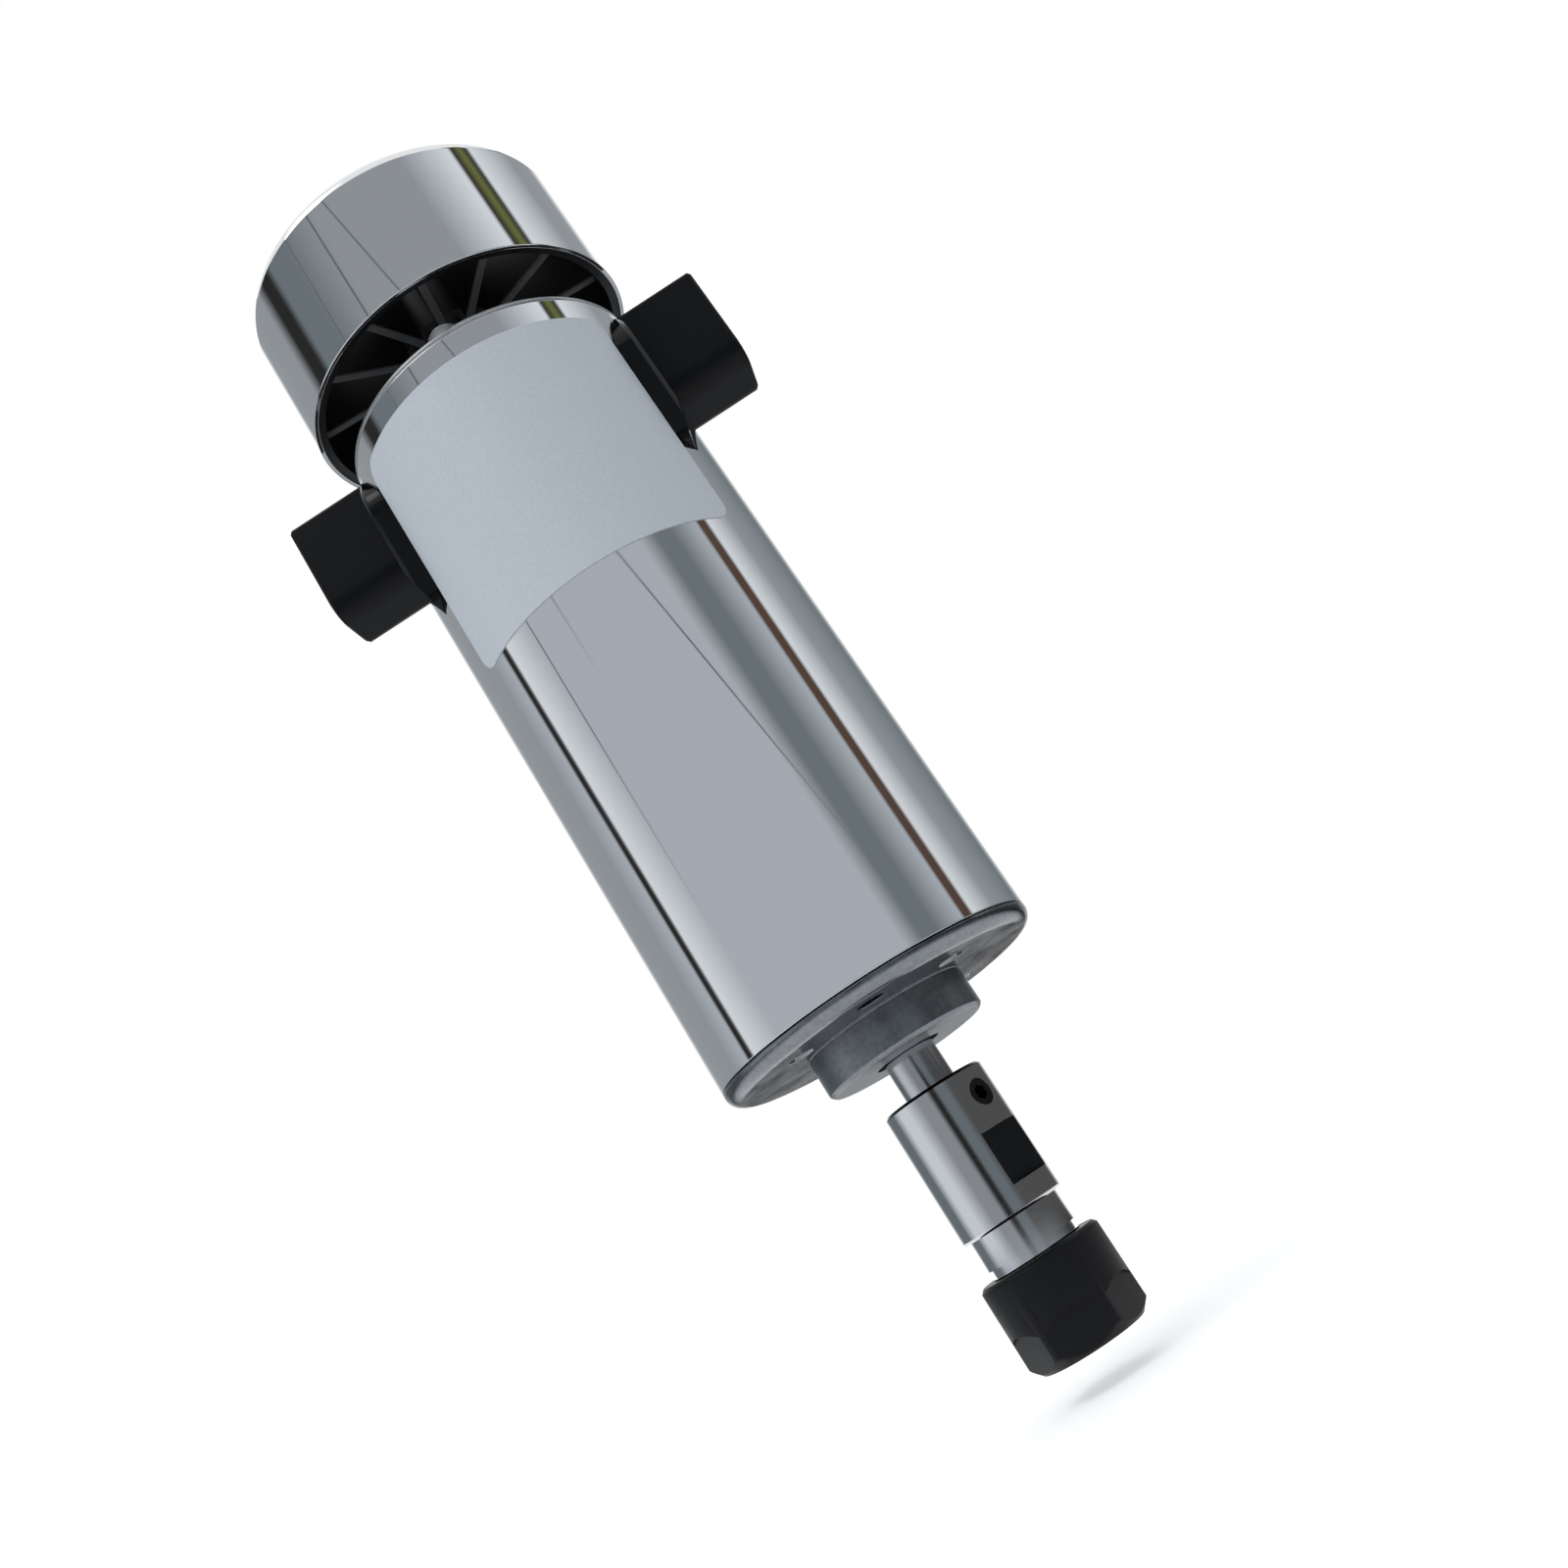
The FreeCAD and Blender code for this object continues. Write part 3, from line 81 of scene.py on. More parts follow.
# A card begins or ends at a bearing in degrees from the camera's side, with its tone there.
LOW_ROW = (
    (-180, WHITE),
    (-145, DIM),
    (-112, DIM),
    (-90, BRIGHT),
    (-68, BRIGHT),
    (-36, GREY),
    (-13, GREY),
    (-4, BLACK),
    (3, BLACK),
    (10, DIM),
    (26, DIM),
    (36, DARK),
    (145, DARK),
    (180, WHITE),
)
MIDDLE_ROW = (
    (-180, WHITE),
    (-150, GREY),
    (-112, GREY),
    (-95, PALE),
    (-93, BLACK),
    (-89, BLACK),
    (-87, BRIGHT),
    (-62, PALE),
    (36, PALE),
    (48, DIM),
    (60, DIM),
    (81, PALE),
    (83, BROWN),
    (89, BROWN),
    (91, BRIGHT),
    (112, GREY),
    (150, DIM),
    (180, WHITE),
)
HIGH_ROW = (
    (-180, WHITE),
    (-160, WHITE),
    (-146, GREY),
    (-106, GREY),
    (-96, BLACK),
    (-86, BLACK),
    (-80, DIM),
    (-62, DIM),
    (-30, GREY),
    (38, GREY),
    (50, PALE),
    (73, BRIGHT),
    (76, BLACK),
    (82, OLIVE),
    (87, BLACK),
    (90, BRIGHT),
    (122, GREY),
    (142, GREY),
    (156, WHITE),
    (180, WHITE),
)
# Below the floor's level: a row of darker cards, and an even grey under them.
FOOT_ROW = (
    (-180, BLACK),
    (-120, DIM),
    (-60, PALE),
    (60, GREY),
    (120, BLACK),
    (180, BLACK),
)
GROUND_TONE = GREY
# The rows from the bottom up. Each comes in between two heights, in metres.
WALL_ROWS = (
    (FOOT_ROW, -0.3, -0.18),
    (LOW_ROW, -0.11, -0.07),
    (MIDDLE_ROW, 0.1, 0.17),
    (HIGH_ROW, 0.84, 0.92),
)
WALL_RADIUS = 1.2
WALL_LOW = -0.35
WALL_HEIGHT = 1.9
# How strongly the wall glows, and how much more for the light that falls on matt surfaces.
WALL_GLOW = 1.3
WALL_GLOW_MORE = 0.4
# Thin dark strips before the cards: bearing at the foot, lean in degrees a metre,
# height of the foot in metres, and width in degrees. They come in over the fade's length.
STRIPS = (
    (51, -69, 0.23, 1.1),
    (-35, 0, 0.58, 1.4),
    (-63, 6, 0.3, 0.9),
)
STRIP_TONE = "5c6468"
STRIP_FADE = 0.25

# The light of the world on the object, and its tone. Where it is seen, the world is plain white.
WORLD_TONE = "eef0f2"
WORLD_LIGHT = 1.3

FLOOR_RADIUS = 0.7
FLOOR_HEIGHT = -57.5 * MM
FLOOR_TONE = "e8e8e8"
# The floor turns clear between these two distances from the axis.
FLOOR_FADE = (0.09, 0.3)
# What is added to the floor where it is seen, so that it meets the white background.
FLOOR_LIFT = 0.45

LAMP_PLACE = Vector((-0.45, -0.5, 1.3))
LAMP_AIM = Vector((0, 0, 0.04))
LAMP_SIZE = 0.6
LAMP_POWER = 3.0

CAMERA_PLACE = Vector((6.30 * MM, -218.83 * MM, -28.64 * MM))
CAMERA_RIGHT = Vector((0.83693, 0.15988, -0.5234))
CAMERA_UP = Vector((0.54732, -0.24448, 0.8004))
CAMERA_LENS = 34.16


def linear(text):
    """An sRGB hex colour as the linear values that the shaders take."""
    channels = [int(text[i : i + 2], 16) / 255 for i in (0, 2, 4)]
    return [c / 12.92 if c <= 0.04045 else ((c + 0.055) / 1.055) ** 2.4 for c in channels] + [1.0]


def add(tree, kind, inputs=None, **settings):
    """Adds a node. An input is a value, or the output of another node that is linked to it."""
    node = tree.nodes.new(kind)
    for name, value in settings.items():
        setattr(node, name, value)
    for name, value in (inputs or {}).items():
        if isinstance(value, bpy.types.NodeSocket):
            tree.links.new(value, node.inputs[name])
        else:
            node.inputs[name].default_value = value
    return node


def insides(material):
    """A material's node tree, its shader, and the object coordinates."""
    tree = material.node_tree
    return tree, tree.nodes["Principled BSDF"], add(tree, "ShaderNodeTexCoord").outputs["Object"]


def start(name, colour, metallic, roughness):
    """A new material and its insides."""
    material = bpy.data.materials.new(name)
    material.use_nodes = True
    adjust(material, {"Base Color": linear(colour), "Metallic": metallic, "Roughness": roughness})
    return material, *insides(material)


def adjust(material, values):
    """Sets values of a material's shader."""
    for name, value in values.items():
        material.node_tree.nodes["Principled BSDF"].inputs[name].default_value = value
    return material


def feed(tree, shader, outputs):
    """Links outputs to the shader's inputs of these names."""
    for name, output in outputs.items():
        tree.links.new(output, shader.inputs[name])


# Finishes. A noise scale of 1000 / n has grains about n millimetres wide,
# and a wave scale of 314 / n repeats every n millimetres.


def polished_nickel():
    """Nickel plate on a polished steel tube: a mirror, with faint wiping marks and a slight wave."""
    material, tree, shader, place = start("polished_nickel_plate", "e0e1e2", 1.0, 0.03)
    smear = add(tree, "ShaderNodeTexNoise", {"Vector": place, "Scale": 1000 / 22, "Detail": 3.0})
    rough = add(
        tree,
        "ShaderNodeMapRange",
        {"Value": smear.outputs[0], "From Min": 0.35, "From Max": 0.75, "To Min": 0.02, "To Max": 0.06},
    )
    long_way = add(tree, "ShaderNodeMapping", {"Vector": place, "Scale": (1.0, 1.0, 0.25)})
    wave = add(
        tree, "ShaderNodeTexNoise", {"Vector": long_way.outputs[0], "Scale": 1000 / 16, "Detail": 1.0}
    )
    bump = add(
        tree, "ShaderNodeBump", {"Height": wave.outputs[0], "Strength": 0.3, "Distance": 0.03 * MM}
    )
    feed(tree, shader, {"Roughness": rough.outputs[0], "Normal": bump.outputs[0]})
    return material


def turned_aluminium(name, dark, light, roughness, painted_shadow_from=None):
    """Cast aluminium, turned and left bare: a satin grey with fine tool rings and a cloudy grain.
    Above a given height the joint with the tube is painted black, a painted shadow in the gap.
    With it, what lies below the front face, the boss, is duller, as it is left from the mould."""
    swing = 0.06
    material, tree, shader, place = start(name, light, 1.0, roughness)
    rings = add(
        tree,
        "ShaderNodeTexWave",
        {"Vector": place, "Scale": 314 / 0.3, "Distortion": 0.4, "Detail": 1.0},
        wave_type="RINGS",
        rings_direction="Z",
    )
    grain = add(tree, "ShaderNodeTexNoise", {"Vector": place, "Scale": 1000 / 0.8, "Detail": 5.0})
    shade = add(
        tree,
        "ShaderNodeMix",
        {"Factor": grain.outputs[0], "A": linear(dark), "B": linear(light)},
        data_type="RGBA",
    )
    cloud = add(tree, "ShaderNodeTexNoise", {"Vector": place, "Scale": 1000 / 7, "Detail": 3.0})
    rough = add(
        tree,
        "ShaderNodeMapRange",
        {
            "Value": cloud.outputs[0],
            "From Min": 0.3,
            "From Max": 0.7,
            "To Min": roughness - swing,
            "To Max": roughness + swing,
        },
    )
    ring_bump = add(
        tree,
        "ShaderNodeBump",
        {"Height": rings.outputs["Fac"], "Strength": 0.2, "Distance": 0.01 * MM},
    )
    bump = add(
        tree,
        "ShaderNodeBump",
        {
            "Height": grain.outputs[0],
            "Strength": 0.35,
            "Distance": 0.05 * MM,
            "Normal": ring_bump.outputs[0],
        },
    )
    colour, dull = shade.outputs["Result"], rough.outputs[0]
    if painted_shadow_from is not None:
        colour, dull = joint_shadow_and_boss(tree, place, painted_shadow_from, colour, dull)
    feed(tree, shader, {"Base Color": colour, "Roughness": dull, "Normal": bump.outputs[0]})
    return material


def joint_shadow_and_boss(tree, place, painted_shadow_from, colour, dull):
    """The front cap's colour with a painted shadow in its joint, and its roughness with the duller boss.
    """
    boss_begins, boss_is_dull, dulling = -0.1 * MM, -0.6 * MM, 0.16
    height = add(tree, "ShaderNodeSeparateXYZ", {"Vector": place}).outputs["Z"]
    # Painted shadow: above the given height, the narrow gap between cap and tube is painted black.
    joint = add(tree, "ShaderNodeMath", {0: height, 1: painted_shadow_from}, operation="GREATER_THAN")
    shaded = add(
        tree,
        "ShaderNodeMix",
        {"Factor": joint.outputs[0], "A": colour, "B": linear("08090a")},
        data_type="RGBA",
    )
    boss = add(
        tree,
        "ShaderNodeMapRange",
        {
            "Value": height,
            "From Min": boss_is_dull,
            "From Max": boss_begins,
            "To Min": dulling,
            "To Max": 0.0,
        },
    )
    duller = add(tree, "ShaderNodeMath", {0: dull, 1: boss.outputs[0]}, operation="ADD")
    return shaded.outputs["Result"], duller.outputs[0]


def ground_steel(name, colour, roughness, line=0.12, swing=0.05, relief=0.2):
    """Cylindrically ground steel: a soft shine, broken by fine lines that run round the axis."""
    material, tree, shader, place = start(name, colour, 1.0, roughness)
    flat = add(tree, "ShaderNodeMapping", {"Vector": place, "Scale": (0.02, 0.02, 1.0)})
    lines = add(
        tree, "ShaderNodeTexNoise", {"Vector": flat.outputs[0], "Scale": 1000 / line, "Detail": 2.0}
    )
    rough = add(
        tree,
        "ShaderNodeMapRange",
        {
            "Value": lines.outputs[0],
            "From Min": 0.3,
            "From Max": 0.7,
            "To Min": roughness - swing,
            "To Max": roughness + swing,
        },
    )
    bump = add(
        tree, "ShaderNodeBump", {"Height": lines.outputs[0], "Strength": relief, "Distance": 0.006 * MM}
    )
    feed(tree, shader, {"Roughness": rough.outputs[0], "Normal": bump.outputs[0]})
    return material


def chuck_steel(sizes):
    """The chuck rod's ground steel. Its milled wrench flats keep their black oxide,
    and its nose has a fine thread. A black ring at its rear edge is a painted shadow."""
    flat_skin = 0.03 * MM
    material = ground_steel("ground_steel_with_black_flats", "d2d3d5", 0.07, swing=0.02, relief=0.1)
    adjust(material, {"Specular IOR Level": 0.1})
    tree, shader, place = insides(material)
    turned = add(tree, "ShaderNodeMapping", {"Vector": place, "Rotation": (0.0, 0.0, -sizes.chuck_turn)})
    parts = add(tree, "ShaderNodeSeparateXYZ", {"Vector": turned.outputs[0]}).outputs
    across = add(tree, "ShaderNodeMath", {0: parts["X"]}, operation="ABSOLUTE")
    inside = add(
        tree,
        "ShaderNodeMath",
        {0: across.outputs[0], 1: sizes.flat_half, 2: flat_skin},
        operation="COMPARE",
    )
    middle = add(
        tree,
        "ShaderNodeMath",
        {0: parts["Z"], 1: sizes.flat_centre, 2: sizes.flat_length / 2},
        operation="COMPARE",
    )
    is_flat = add(
        tree, "ShaderNodeMath", {0: inside.outputs[0], 1: middle.outputs[0]}, operation="MULTIPLY"
    ).outputs[0]
    grain = add(tree, "ShaderNodeTexNoise", {"Vector": place, "Scale": 1000 / 0.35, "Detail": 3.0})
    black = add(
        tree,
        "ShaderNodeMix",
        {"Factor": grain.outputs[0], "A": linear("0b0c0e"), "B": linear("1c1d20")},
        data_type="RGBA",
    )
    # Painted shadow and dark reflection: a black ring round the rod's rear edge, next to the boss.
    painted_rear_shadow = add(
        tree,
        "ShaderNodeMath",
        {0: parts["Z"], 1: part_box("chuck_rod")[1].z - sizes.rear_shadow_width},
        operation="GREATER_THAN",
    )
    ground = add(
        tree,
        "ShaderNodeMix",
        {
            "Factor": painted_rear_shadow.outputs[0],
            "A": shader.inputs["Base Color"].default_value[:],
            "B": linear("0c0d0e"),
        },
        data_type="RGBA",
    )
    colour = add(
        tree,
        "ShaderNodeMix",
        {"Factor": is_flat, "A": ground.outputs["Result"], "B": black.outputs["Result"]},
        data_type="RGBA",
    )
    bright = add(tree, "ShaderNodeMath", {0: 1.0, 1: is_flat}, operation="SUBTRACT")
    rough = add(
        tree,
        "ShaderNodeMix",
        {"Factor": is_flat, "A": shader.inputs["Roughness"].links[0].from_socket, "B": 0.7},
        data_type="FLOAT",
    )
    thread = add(
        tree,
        "ShaderNodeTexWave",
        {"Vector": place, "Scale": 314 * MM / sizes.nose_pitch},
        wave_type="BANDS",
        bands_direction="Z",
    )
    on_nose = add(tree, "ShaderNodeMath", {0: parts["Z"], 1: sizes.nose_start}, operation="LESS_THAN")
    ridge = add(
        tree,
        "ShaderNodeMath",
        {0: thread.outputs["Fac"], 1: on_nose.outputs[0]},
        operation="MULTIPLY",
    )
    bump = add(
        tree,
        "ShaderNodeBump",
        {
            "Height": ridge.outputs[0],
            "Strength": 1.0,
            "Distance": 0.3 * MM,
            "Normal": shader.inputs["Normal"].links[0].from_socket,
        },
    )
    feed(
        tree,
        shader,
        {
            "Base Color": colour.outputs["Result"],
            "Metallic": bright.outputs[0],
            "Roughness": rough.outputs["Result"],
            "Normal": bump.outputs[0],
        },
    )
    return material


def grained(
    name, dark, light, metallic, roughness, grain, depth=0.02, relief=0.4, detail=3.0, cloud=None
):
    """A plain finish with a grain of its own, which mixes the two colours. Where a cloud is given,
    by its size in millimetres and its detail, that coarser noise mixes them instead."""
    material, tree, shader, place = start(name, light, metallic, roughness)
    speck = add(tree, "ShaderNodeTexNoise", {"Vector": place, "Scale": 1000 / grain, "Detail": detail})
    mixer = speck
    if cloud is not None:
        size, softness = cloud
        mixer = add(
            tree, "ShaderNodeTexNoise", {"Vector": place, "Scale": 1000 / size, "Detail": softness}
        )
    shade = add(
        tree,
        "ShaderNodeMix",
        {"Factor": mixer.outputs[0], "A": linear(dark), "B": linear(light)},
        data_type="RGBA",
    )
    bump = add(
        tree, "ShaderNodeBump", {"Height": speck.outputs[0], "Strength": relief, "Distance": depth * MM}
    )
    feed(tree, shader, {"Base Color": shade.outputs["Result"], "Normal": bump.outputs[0]})
    return material


def black_oxide(name, roughness):
    """Steel with a black oxide finish: nearly black, with a dull bluish shine and a fine grain."""
    material = grained(name, "040507", "0a0b0f", 0.0, roughness, 0.4, relief=0.25, cloud=(5, 2.0))
    return adjust(material, {"Specular IOR Level": 0.2})


def moulded_black(name, roughness, grain=0.4, gloss=0.25):
    """Black ABS from a spark-eroded mould: a deep black with a fine, even grain."""
    material = grained(
        name, "040507", "0b0c10", 0.0, roughness, grain, relief=0.3, detail=2.0, cloud=(9, 3.0)
    )
    return adjust(material, {"Specular IOR Level": gloss})


def brush_box_black():
    """The same ABS, grained on the box. The curved saddle is glossier, as the mould was polished
    there. The two are told apart by how far they are from the axis along X."""
    saddle_ends, box_begins = 25.4 * MM, 26.2 * MM
    material = moulded_black("moulded_black_abs_box", 0.5, gloss=0.16)
    tree, shader, place = insides(material)
    parts = add(tree, "ShaderNodeSeparateXYZ", {"Vector": place})
    out = add(tree, "ShaderNodeMath", {0: parts.outputs["X"]}, operation="ABSOLUTE")
    rough = add(
        tree,
        "ShaderNodeMapRange",
        {
            "Value": out.outputs[0],
            "From Min": saddle_ends,
            "From Max": box_begins,
            "To Min": 0.12,
            "To Max": 0.48,
        },
    )
    feed(tree, shader, {"Roughness": rough.outputs[0]})
    return material


def vane_black():
    """The fan's black moulding, with a painted highlight: the vanes' front edges turn grey."""
    material = moulded_black("moulded_black_vane", 0.4, gloss=0.4)
    tree, shader, place = insides(material)
    parts = add(tree, "ShaderNodeSeparateXYZ", {"Vector": place})
    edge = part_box("fan_vanes")[0].z
    # The painted highlight is full grey up to 0.1 mm above the vanes' front edges and gone by 0.5 mm.
    highlight_full_to, black_from = edge + 0.1 * MM, edge + 0.5 * MM
    painted_highlight = add(
        tree,
        "ShaderNodeMapRange",
        {
            "Value": parts.outputs["Z"],
            "From Min": highlight_full_to,
            "From Max": black_from,
            "To Min": 1.0,
            "To Max": 0.0,
        },
    )
    shade = add(
        tree,
        "ShaderNodeMix",
        {
            "Factor": painted_highlight.outputs[0],
            "A": shader.inputs["Base Color"].links[0].from_socket,
            "B": linear("6a6a6c"),
        },
        data_type="RGBA",
    )
    feed(tree, shader, {"Base Color": shade.outputs["Result"]})
    return material


def label_foil(sizes):
    """A matte silver polyester label: pale, nearly white, with a faint metallic speckle."""
    tones = sizes.label_dark, sizes.label_light
    material = grained(
        "silver_polyester_label", *tones, 0.0, 0.42, 0.5, depth=0.01, relief=0.15, detail=2.0
    )
    return adjust(material, {"Coat Weight": 0.25, "Coat Roughness": 0.3})


def layered(name, dark, light, metallic, roughness, step, direction):
    """A finish with even layers or turns: sheet laminations, or wire laid side by side."""
    material, tree, shader, place = start(name, light, metallic, roughness)
    layers = add(
        tree,
        "ShaderNodeTexWave",
        {"Vector": place, "Scale": 314 / step, "Distortion": 0.3},
        wave_type="BANDS",
        bands_direction=direction,
    ).outputs["Fac"]
    shade = add(
        tree,
        "ShaderNodeMix",
        {"Factor": layers, "A": linear(dark), "B": linear(light)},
        data_type="RGBA",
    )
    bump = add(tree, "ShaderNodeBump", {"Height": layers, "Strength": 0.8, "Distance": 0.2 * step * MM})
    feed(tree, shader, {"Base Color": shade.outputs["Result"], "Normal": bump.outputs[0]})
    return material


def paint(node, material):
    """Gives a CAD node its finish."""
    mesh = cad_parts[node].data
    mesh.materials.clear()
    mesh.materials.append(material)


def make_object(name, bm, material, smooth=True, sharp_from=SHARP_FROM):
    """Makes the object. Edges that bend more than sharp_from degrees stay sharp in its shading."""
    mesh = bpy.data.meshes.new(name)
    bm.to_mesh(mesh)
    bm.free()
    if smooth:
        mesh.shade_smooth()
        mesh.set_sharp_from_angle(angle=radians(sharp_from))
    mesh.materials.append(material)
    piece = bpy.data.objects.new(name, mesh)
    bpy.context.scene.collection.objects.link(piece)
    return piece


def rounded_copy(node, width, material, sharp_from=SHARP_FROM):
    """A copy of a CAD node whose sharp edges are rounded, as they are on the real piece."""
    bm = bmesh.new()
    bm.from_mesh(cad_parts[node].data)
    bmesh.ops.remove_doubles(bm, verts=bm.verts, dist=WELD)
    bmesh.ops.dissolve_limit(
        bm,
        angle_limit=radians(FLAT_WITHIN),
        verts=bm.verts,
        edges=bm.edges,
        use_dissolve_boundaries=False,
    )
    bend = radians(SHARP_FROM)
    sharp = [e for e in bm.edges if len(e.link_faces) == 2 and e.calc_face_angle(0.0) > bend]
    bmesh.ops.bevel(
        bm,
        geom=sharp,
        offset=width,
        offset_type="OFFSET",
        segments=2,
        profile=0.5,
        affect="EDGES",
        clamp_overlap=True,
        material=-1,
    )
    piece = make_object(node + "_rounded", bm, material, sharp_from=sharp_from)
    even = piece.modifiers.new("flat faces stay flat", "WEIGHTED_NORMAL")
    even.keep_sharp = True
    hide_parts(node)
    return piece


def length(name, description, millimetres):
    """A length for the panel."""
    return bpy.props.FloatProperty(
        name=name, description=description, default=millimetres * MM, unit="LENGTH", precision=5
    )


def angle(name, description, in_degrees):
    """An angle for the panel."""
    return bpy.props.FloatProperty(
        name=name, description=description, default=radians(in_degrees), subtype="ANGLE"
    )


def hex_colour(name, description, colour):
    """An sRGB hex colour for the panel."""
    return bpy.props.StringProperty(name=name, description=description, default=colour)


class SpindleSizes(bpy.types.PropertyGroup):
    """Sizes and colours of the pieces that are made here"""

    edge_round: length("Edge rounding", "Radius of the broken edges of the metal pieces", 0.18)
    rod_round: length("Rod edge rounding", "Radius of the broken edges of the chuck rod", 0.08)
    mould_round: length("Moulded edges", "Radius of the edges of the moulded boxes", 0.35)
    # The painted shadow in the gap between the front cap and the tube is this wide.
    joint_shadow_width: length("Front joint", "Width of the oiled joint in front of the tube", 0.22)
    label_low: length("Label, front edge", "Front edge of the label above the front face", 73.7)
    label_high: length("Label, rear edge", "Rear edge of the label above the front face", 115.8)
    label_arc: angle("Label arc", "Angle of the tube that the label covers", 114)
    label_corner: length("Label corners", "Radius of the label's corners", 3.0)
    label_gap: length("Label gap", "Gap between the tube and the label", 0.02)
    label_thickness: length("Label thickness", "Thickness of the label with its adhesive", 0.12)
    label_dark: hex_colour("Label, dark flecks", "sRGB colour of the label's dark flecks", "d0d7de")
    label_light: hex_colour("Label, light flecks", "sRGB colour of its light flecks", "e2e6ea")
    bolt_head_radius: length("Tie bolt head radius", "Radius of the domed heads of the tie bolts", 2.8)
    bolt_head_height: length("Tie bolt head height", "How far the heads stand out of the rear cap", 3.6)
    bolt_circle: length("Mounting hole circle", "Radius of the circle of the mounting holes", 17.5)
    thread_root: length("Mounting thread root", "Radius of the mounting thread at its root", 1.72)
    thread_crest: length("Mounting thread crest", "Radius of the mounting thread at its crest", 1.5)
    thread_start: length("Mounting thread start", "Start of the thread behind the front face", 0.45)
    thread_pitch: length("Mounting thread pitch", "Pitch of the threads in the four mounting holes", 0.7)
    thread_depth: length("Mounting thread depth", "How far the thread reaches into the hole", 4.2)
    chuck_turn: angle("Chuck turn", "Bearing of the wrench flats and grub screws", -41.6)
    flat_half: length("Wrench flat distance", "Wrench flat from the spindle axis", 7.0)
    flat_centre: length("Wrench flat centre", "Middle of the wrench flats along the axis", -25.55)
    flat_length: length("Wrench flat length", "Length of the wrench flats along the axis", 7.92)
    # The width of the painted shadow ring at the rear of the chuck rod.
    rear_shadow_width: length("Black edge", "Width of the black edge at the rear of the chuck rod", 0.45)
    nose_start: length("Nose thread start", "Rear end of the thread on the rod's nose", -38.7)
    nose_pitch: length("Nose thread pitch", "Pitch of the thread on the rod's nose", 0.75)


class SPINDLE_OT_case(bpy.types.Operator):
    """Tube, end caps and tie bolts"""

    bl_idname = "spindle.case"
    bl_label = "Case"

    def execute(self, context):
        sizes = context.scene.spindle_sizes
        nickel = polished_nickel()
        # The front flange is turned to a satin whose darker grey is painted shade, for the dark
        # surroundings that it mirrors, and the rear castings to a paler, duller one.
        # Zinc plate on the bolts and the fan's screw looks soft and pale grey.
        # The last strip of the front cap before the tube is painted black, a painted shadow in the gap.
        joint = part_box("body_tube")[0].z - sizes.joint_shadow_width
        flange = turned_aluminium("turned_aluminium_flange", "64686c", "8c8f93", 0.16, painted_shadow_from=joint)
        cast = turned_aluminium("turned_cast_aluminium", "9a9c9e", "c8c9ca", 0.3)
        zinc = grained("zinc_plated_steel", "9b9da0", "c3c5c8", 1.0, 0.34, 0.6)
        for node, body in (("body_tube", "motor"), ("fan_shell", "rotor")):
            piece = rounded_copy(node, sizes.edge_round, nickel)
            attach(piece, body)
        for node, finish in (("front_cap", flange), ("rear_cap", cast), ("rear_bearing_cup", cast)):
            piece = rounded_copy(node, sizes.edge_round, finish)
            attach(piece, "motor")
        for node in ("tie_bolts", "fan_washer", "fan_screw"):
            paint(node, zinc)
        self.bolt_heads(sizes)
        return {"FINISHED"}

    def bolt_heads(self, sizes):
        """Domed heads on the tie bolts, which stand out of the rear cap behind the tube.
        The outline goes up the side, over the shoulder and down into the socket. The bolts lie
        on the Y axis, either side of the spindle, so their box reaches one bolt radius along X."""
        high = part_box("tie_bolts")[1]
        radius, top = sizes.bolt_head_radius, sizes.bolt_head_height
        outline = (
            (0.0, 0.0),
            (radius, 0.0),
            (radius, 0.72 * top),
            (0.93 * radius, 0.88 * top),
            (0.76 * radius, top),
            (0.5 * radius, top),
            (0.46 * radius, 0.5 * top),
            (0.0, 0.5 * top),
        )
        bm = bmesh.new()
        for side in (-1, 1):
            centre = Vector((0.0, side * (high.y - high.x), high.z))
            verts = [bm.verts.new(centre + Vector((r, 0.0, z))) for r, z in outline]
            edges = [bm.edges.new(pair) for pair in zip(verts, verts[1:])]
            bmesh.ops.spin(
                bm,
                geom=verts + edges,
                cent=centre,
                axis=(0, 0, 1),
                angle=2 * pi,
                steps=36,
                use_merge=True,
            )
        bmesh.ops.remove_doubles(bm, verts=bm.verts, dist=WELD)
        bmesh.ops.recalc_face_normals(bm, faces=bm.faces)
        # Nickel plate on a turned head: nearly white, and too dull to mirror.
        plated = ground_steel("nickel_plated_bolt_head", "f0f0f0", 0.55)
        heads = make_object("tie_bolt_heads", bm, plated)
        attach(heads, "motor")


class SPINDLE_OT_threads(bpy.types.Operator):
    """Threads in the four mounting holes of the front cap"""

    bl_idname = "spindle.threads"
    bl_label = "Mounting threads"

    def execute(self, context):
        sizes = context.scene.spindle_sizes
        pitch = sizes.thread_pitch
        turns = sizes.thread_depth / pitch
        steps = int(turns * THREAD_STEPS)
        corners = ((sizes.thread_root, 0.0), (sizes.thread_crest, pitch / 2), (sizes.thread_root, pitch))
        bm = bmesh.new()
        for quarter in range(4):
            bearing = radians(45 + 90 * quarter)
            centre = sizes.bolt_circle * Vector((cos(bearing), sin(bearing), 0.0))
            profile = [
                bm.verts.new(centre + Vector((radius, 0.0, sizes.thread_start + rise)))
                for radius, rise in corners
            ]
            edges = [bm.edges.new(profile[0:2]), bm.edges.new(profile[1:3])]
            bmesh.ops.spin(
                bm,
                geom=profile + edges,
                cent=centre,
                axis=(0, 0, 1),
                dvec=(0, 0, pitch * (turns - 1) / steps),
                angle=2 * pi * (turns - 1),
                steps=steps,
                use_merge=False,
            )
        bmesh.ops.recalc_face_normals(bm, faces=bm.faces)
        # Freshly cut aluminium is brighter than the face round it.
        cut = turned_aluminium("tapped_aluminium", "c4c6c8", "e4e5e6", 0.22)
        piece = make_object("mounting_threads", bm, cut)
        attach(piece, "motor")
        return {"FINISHED"}


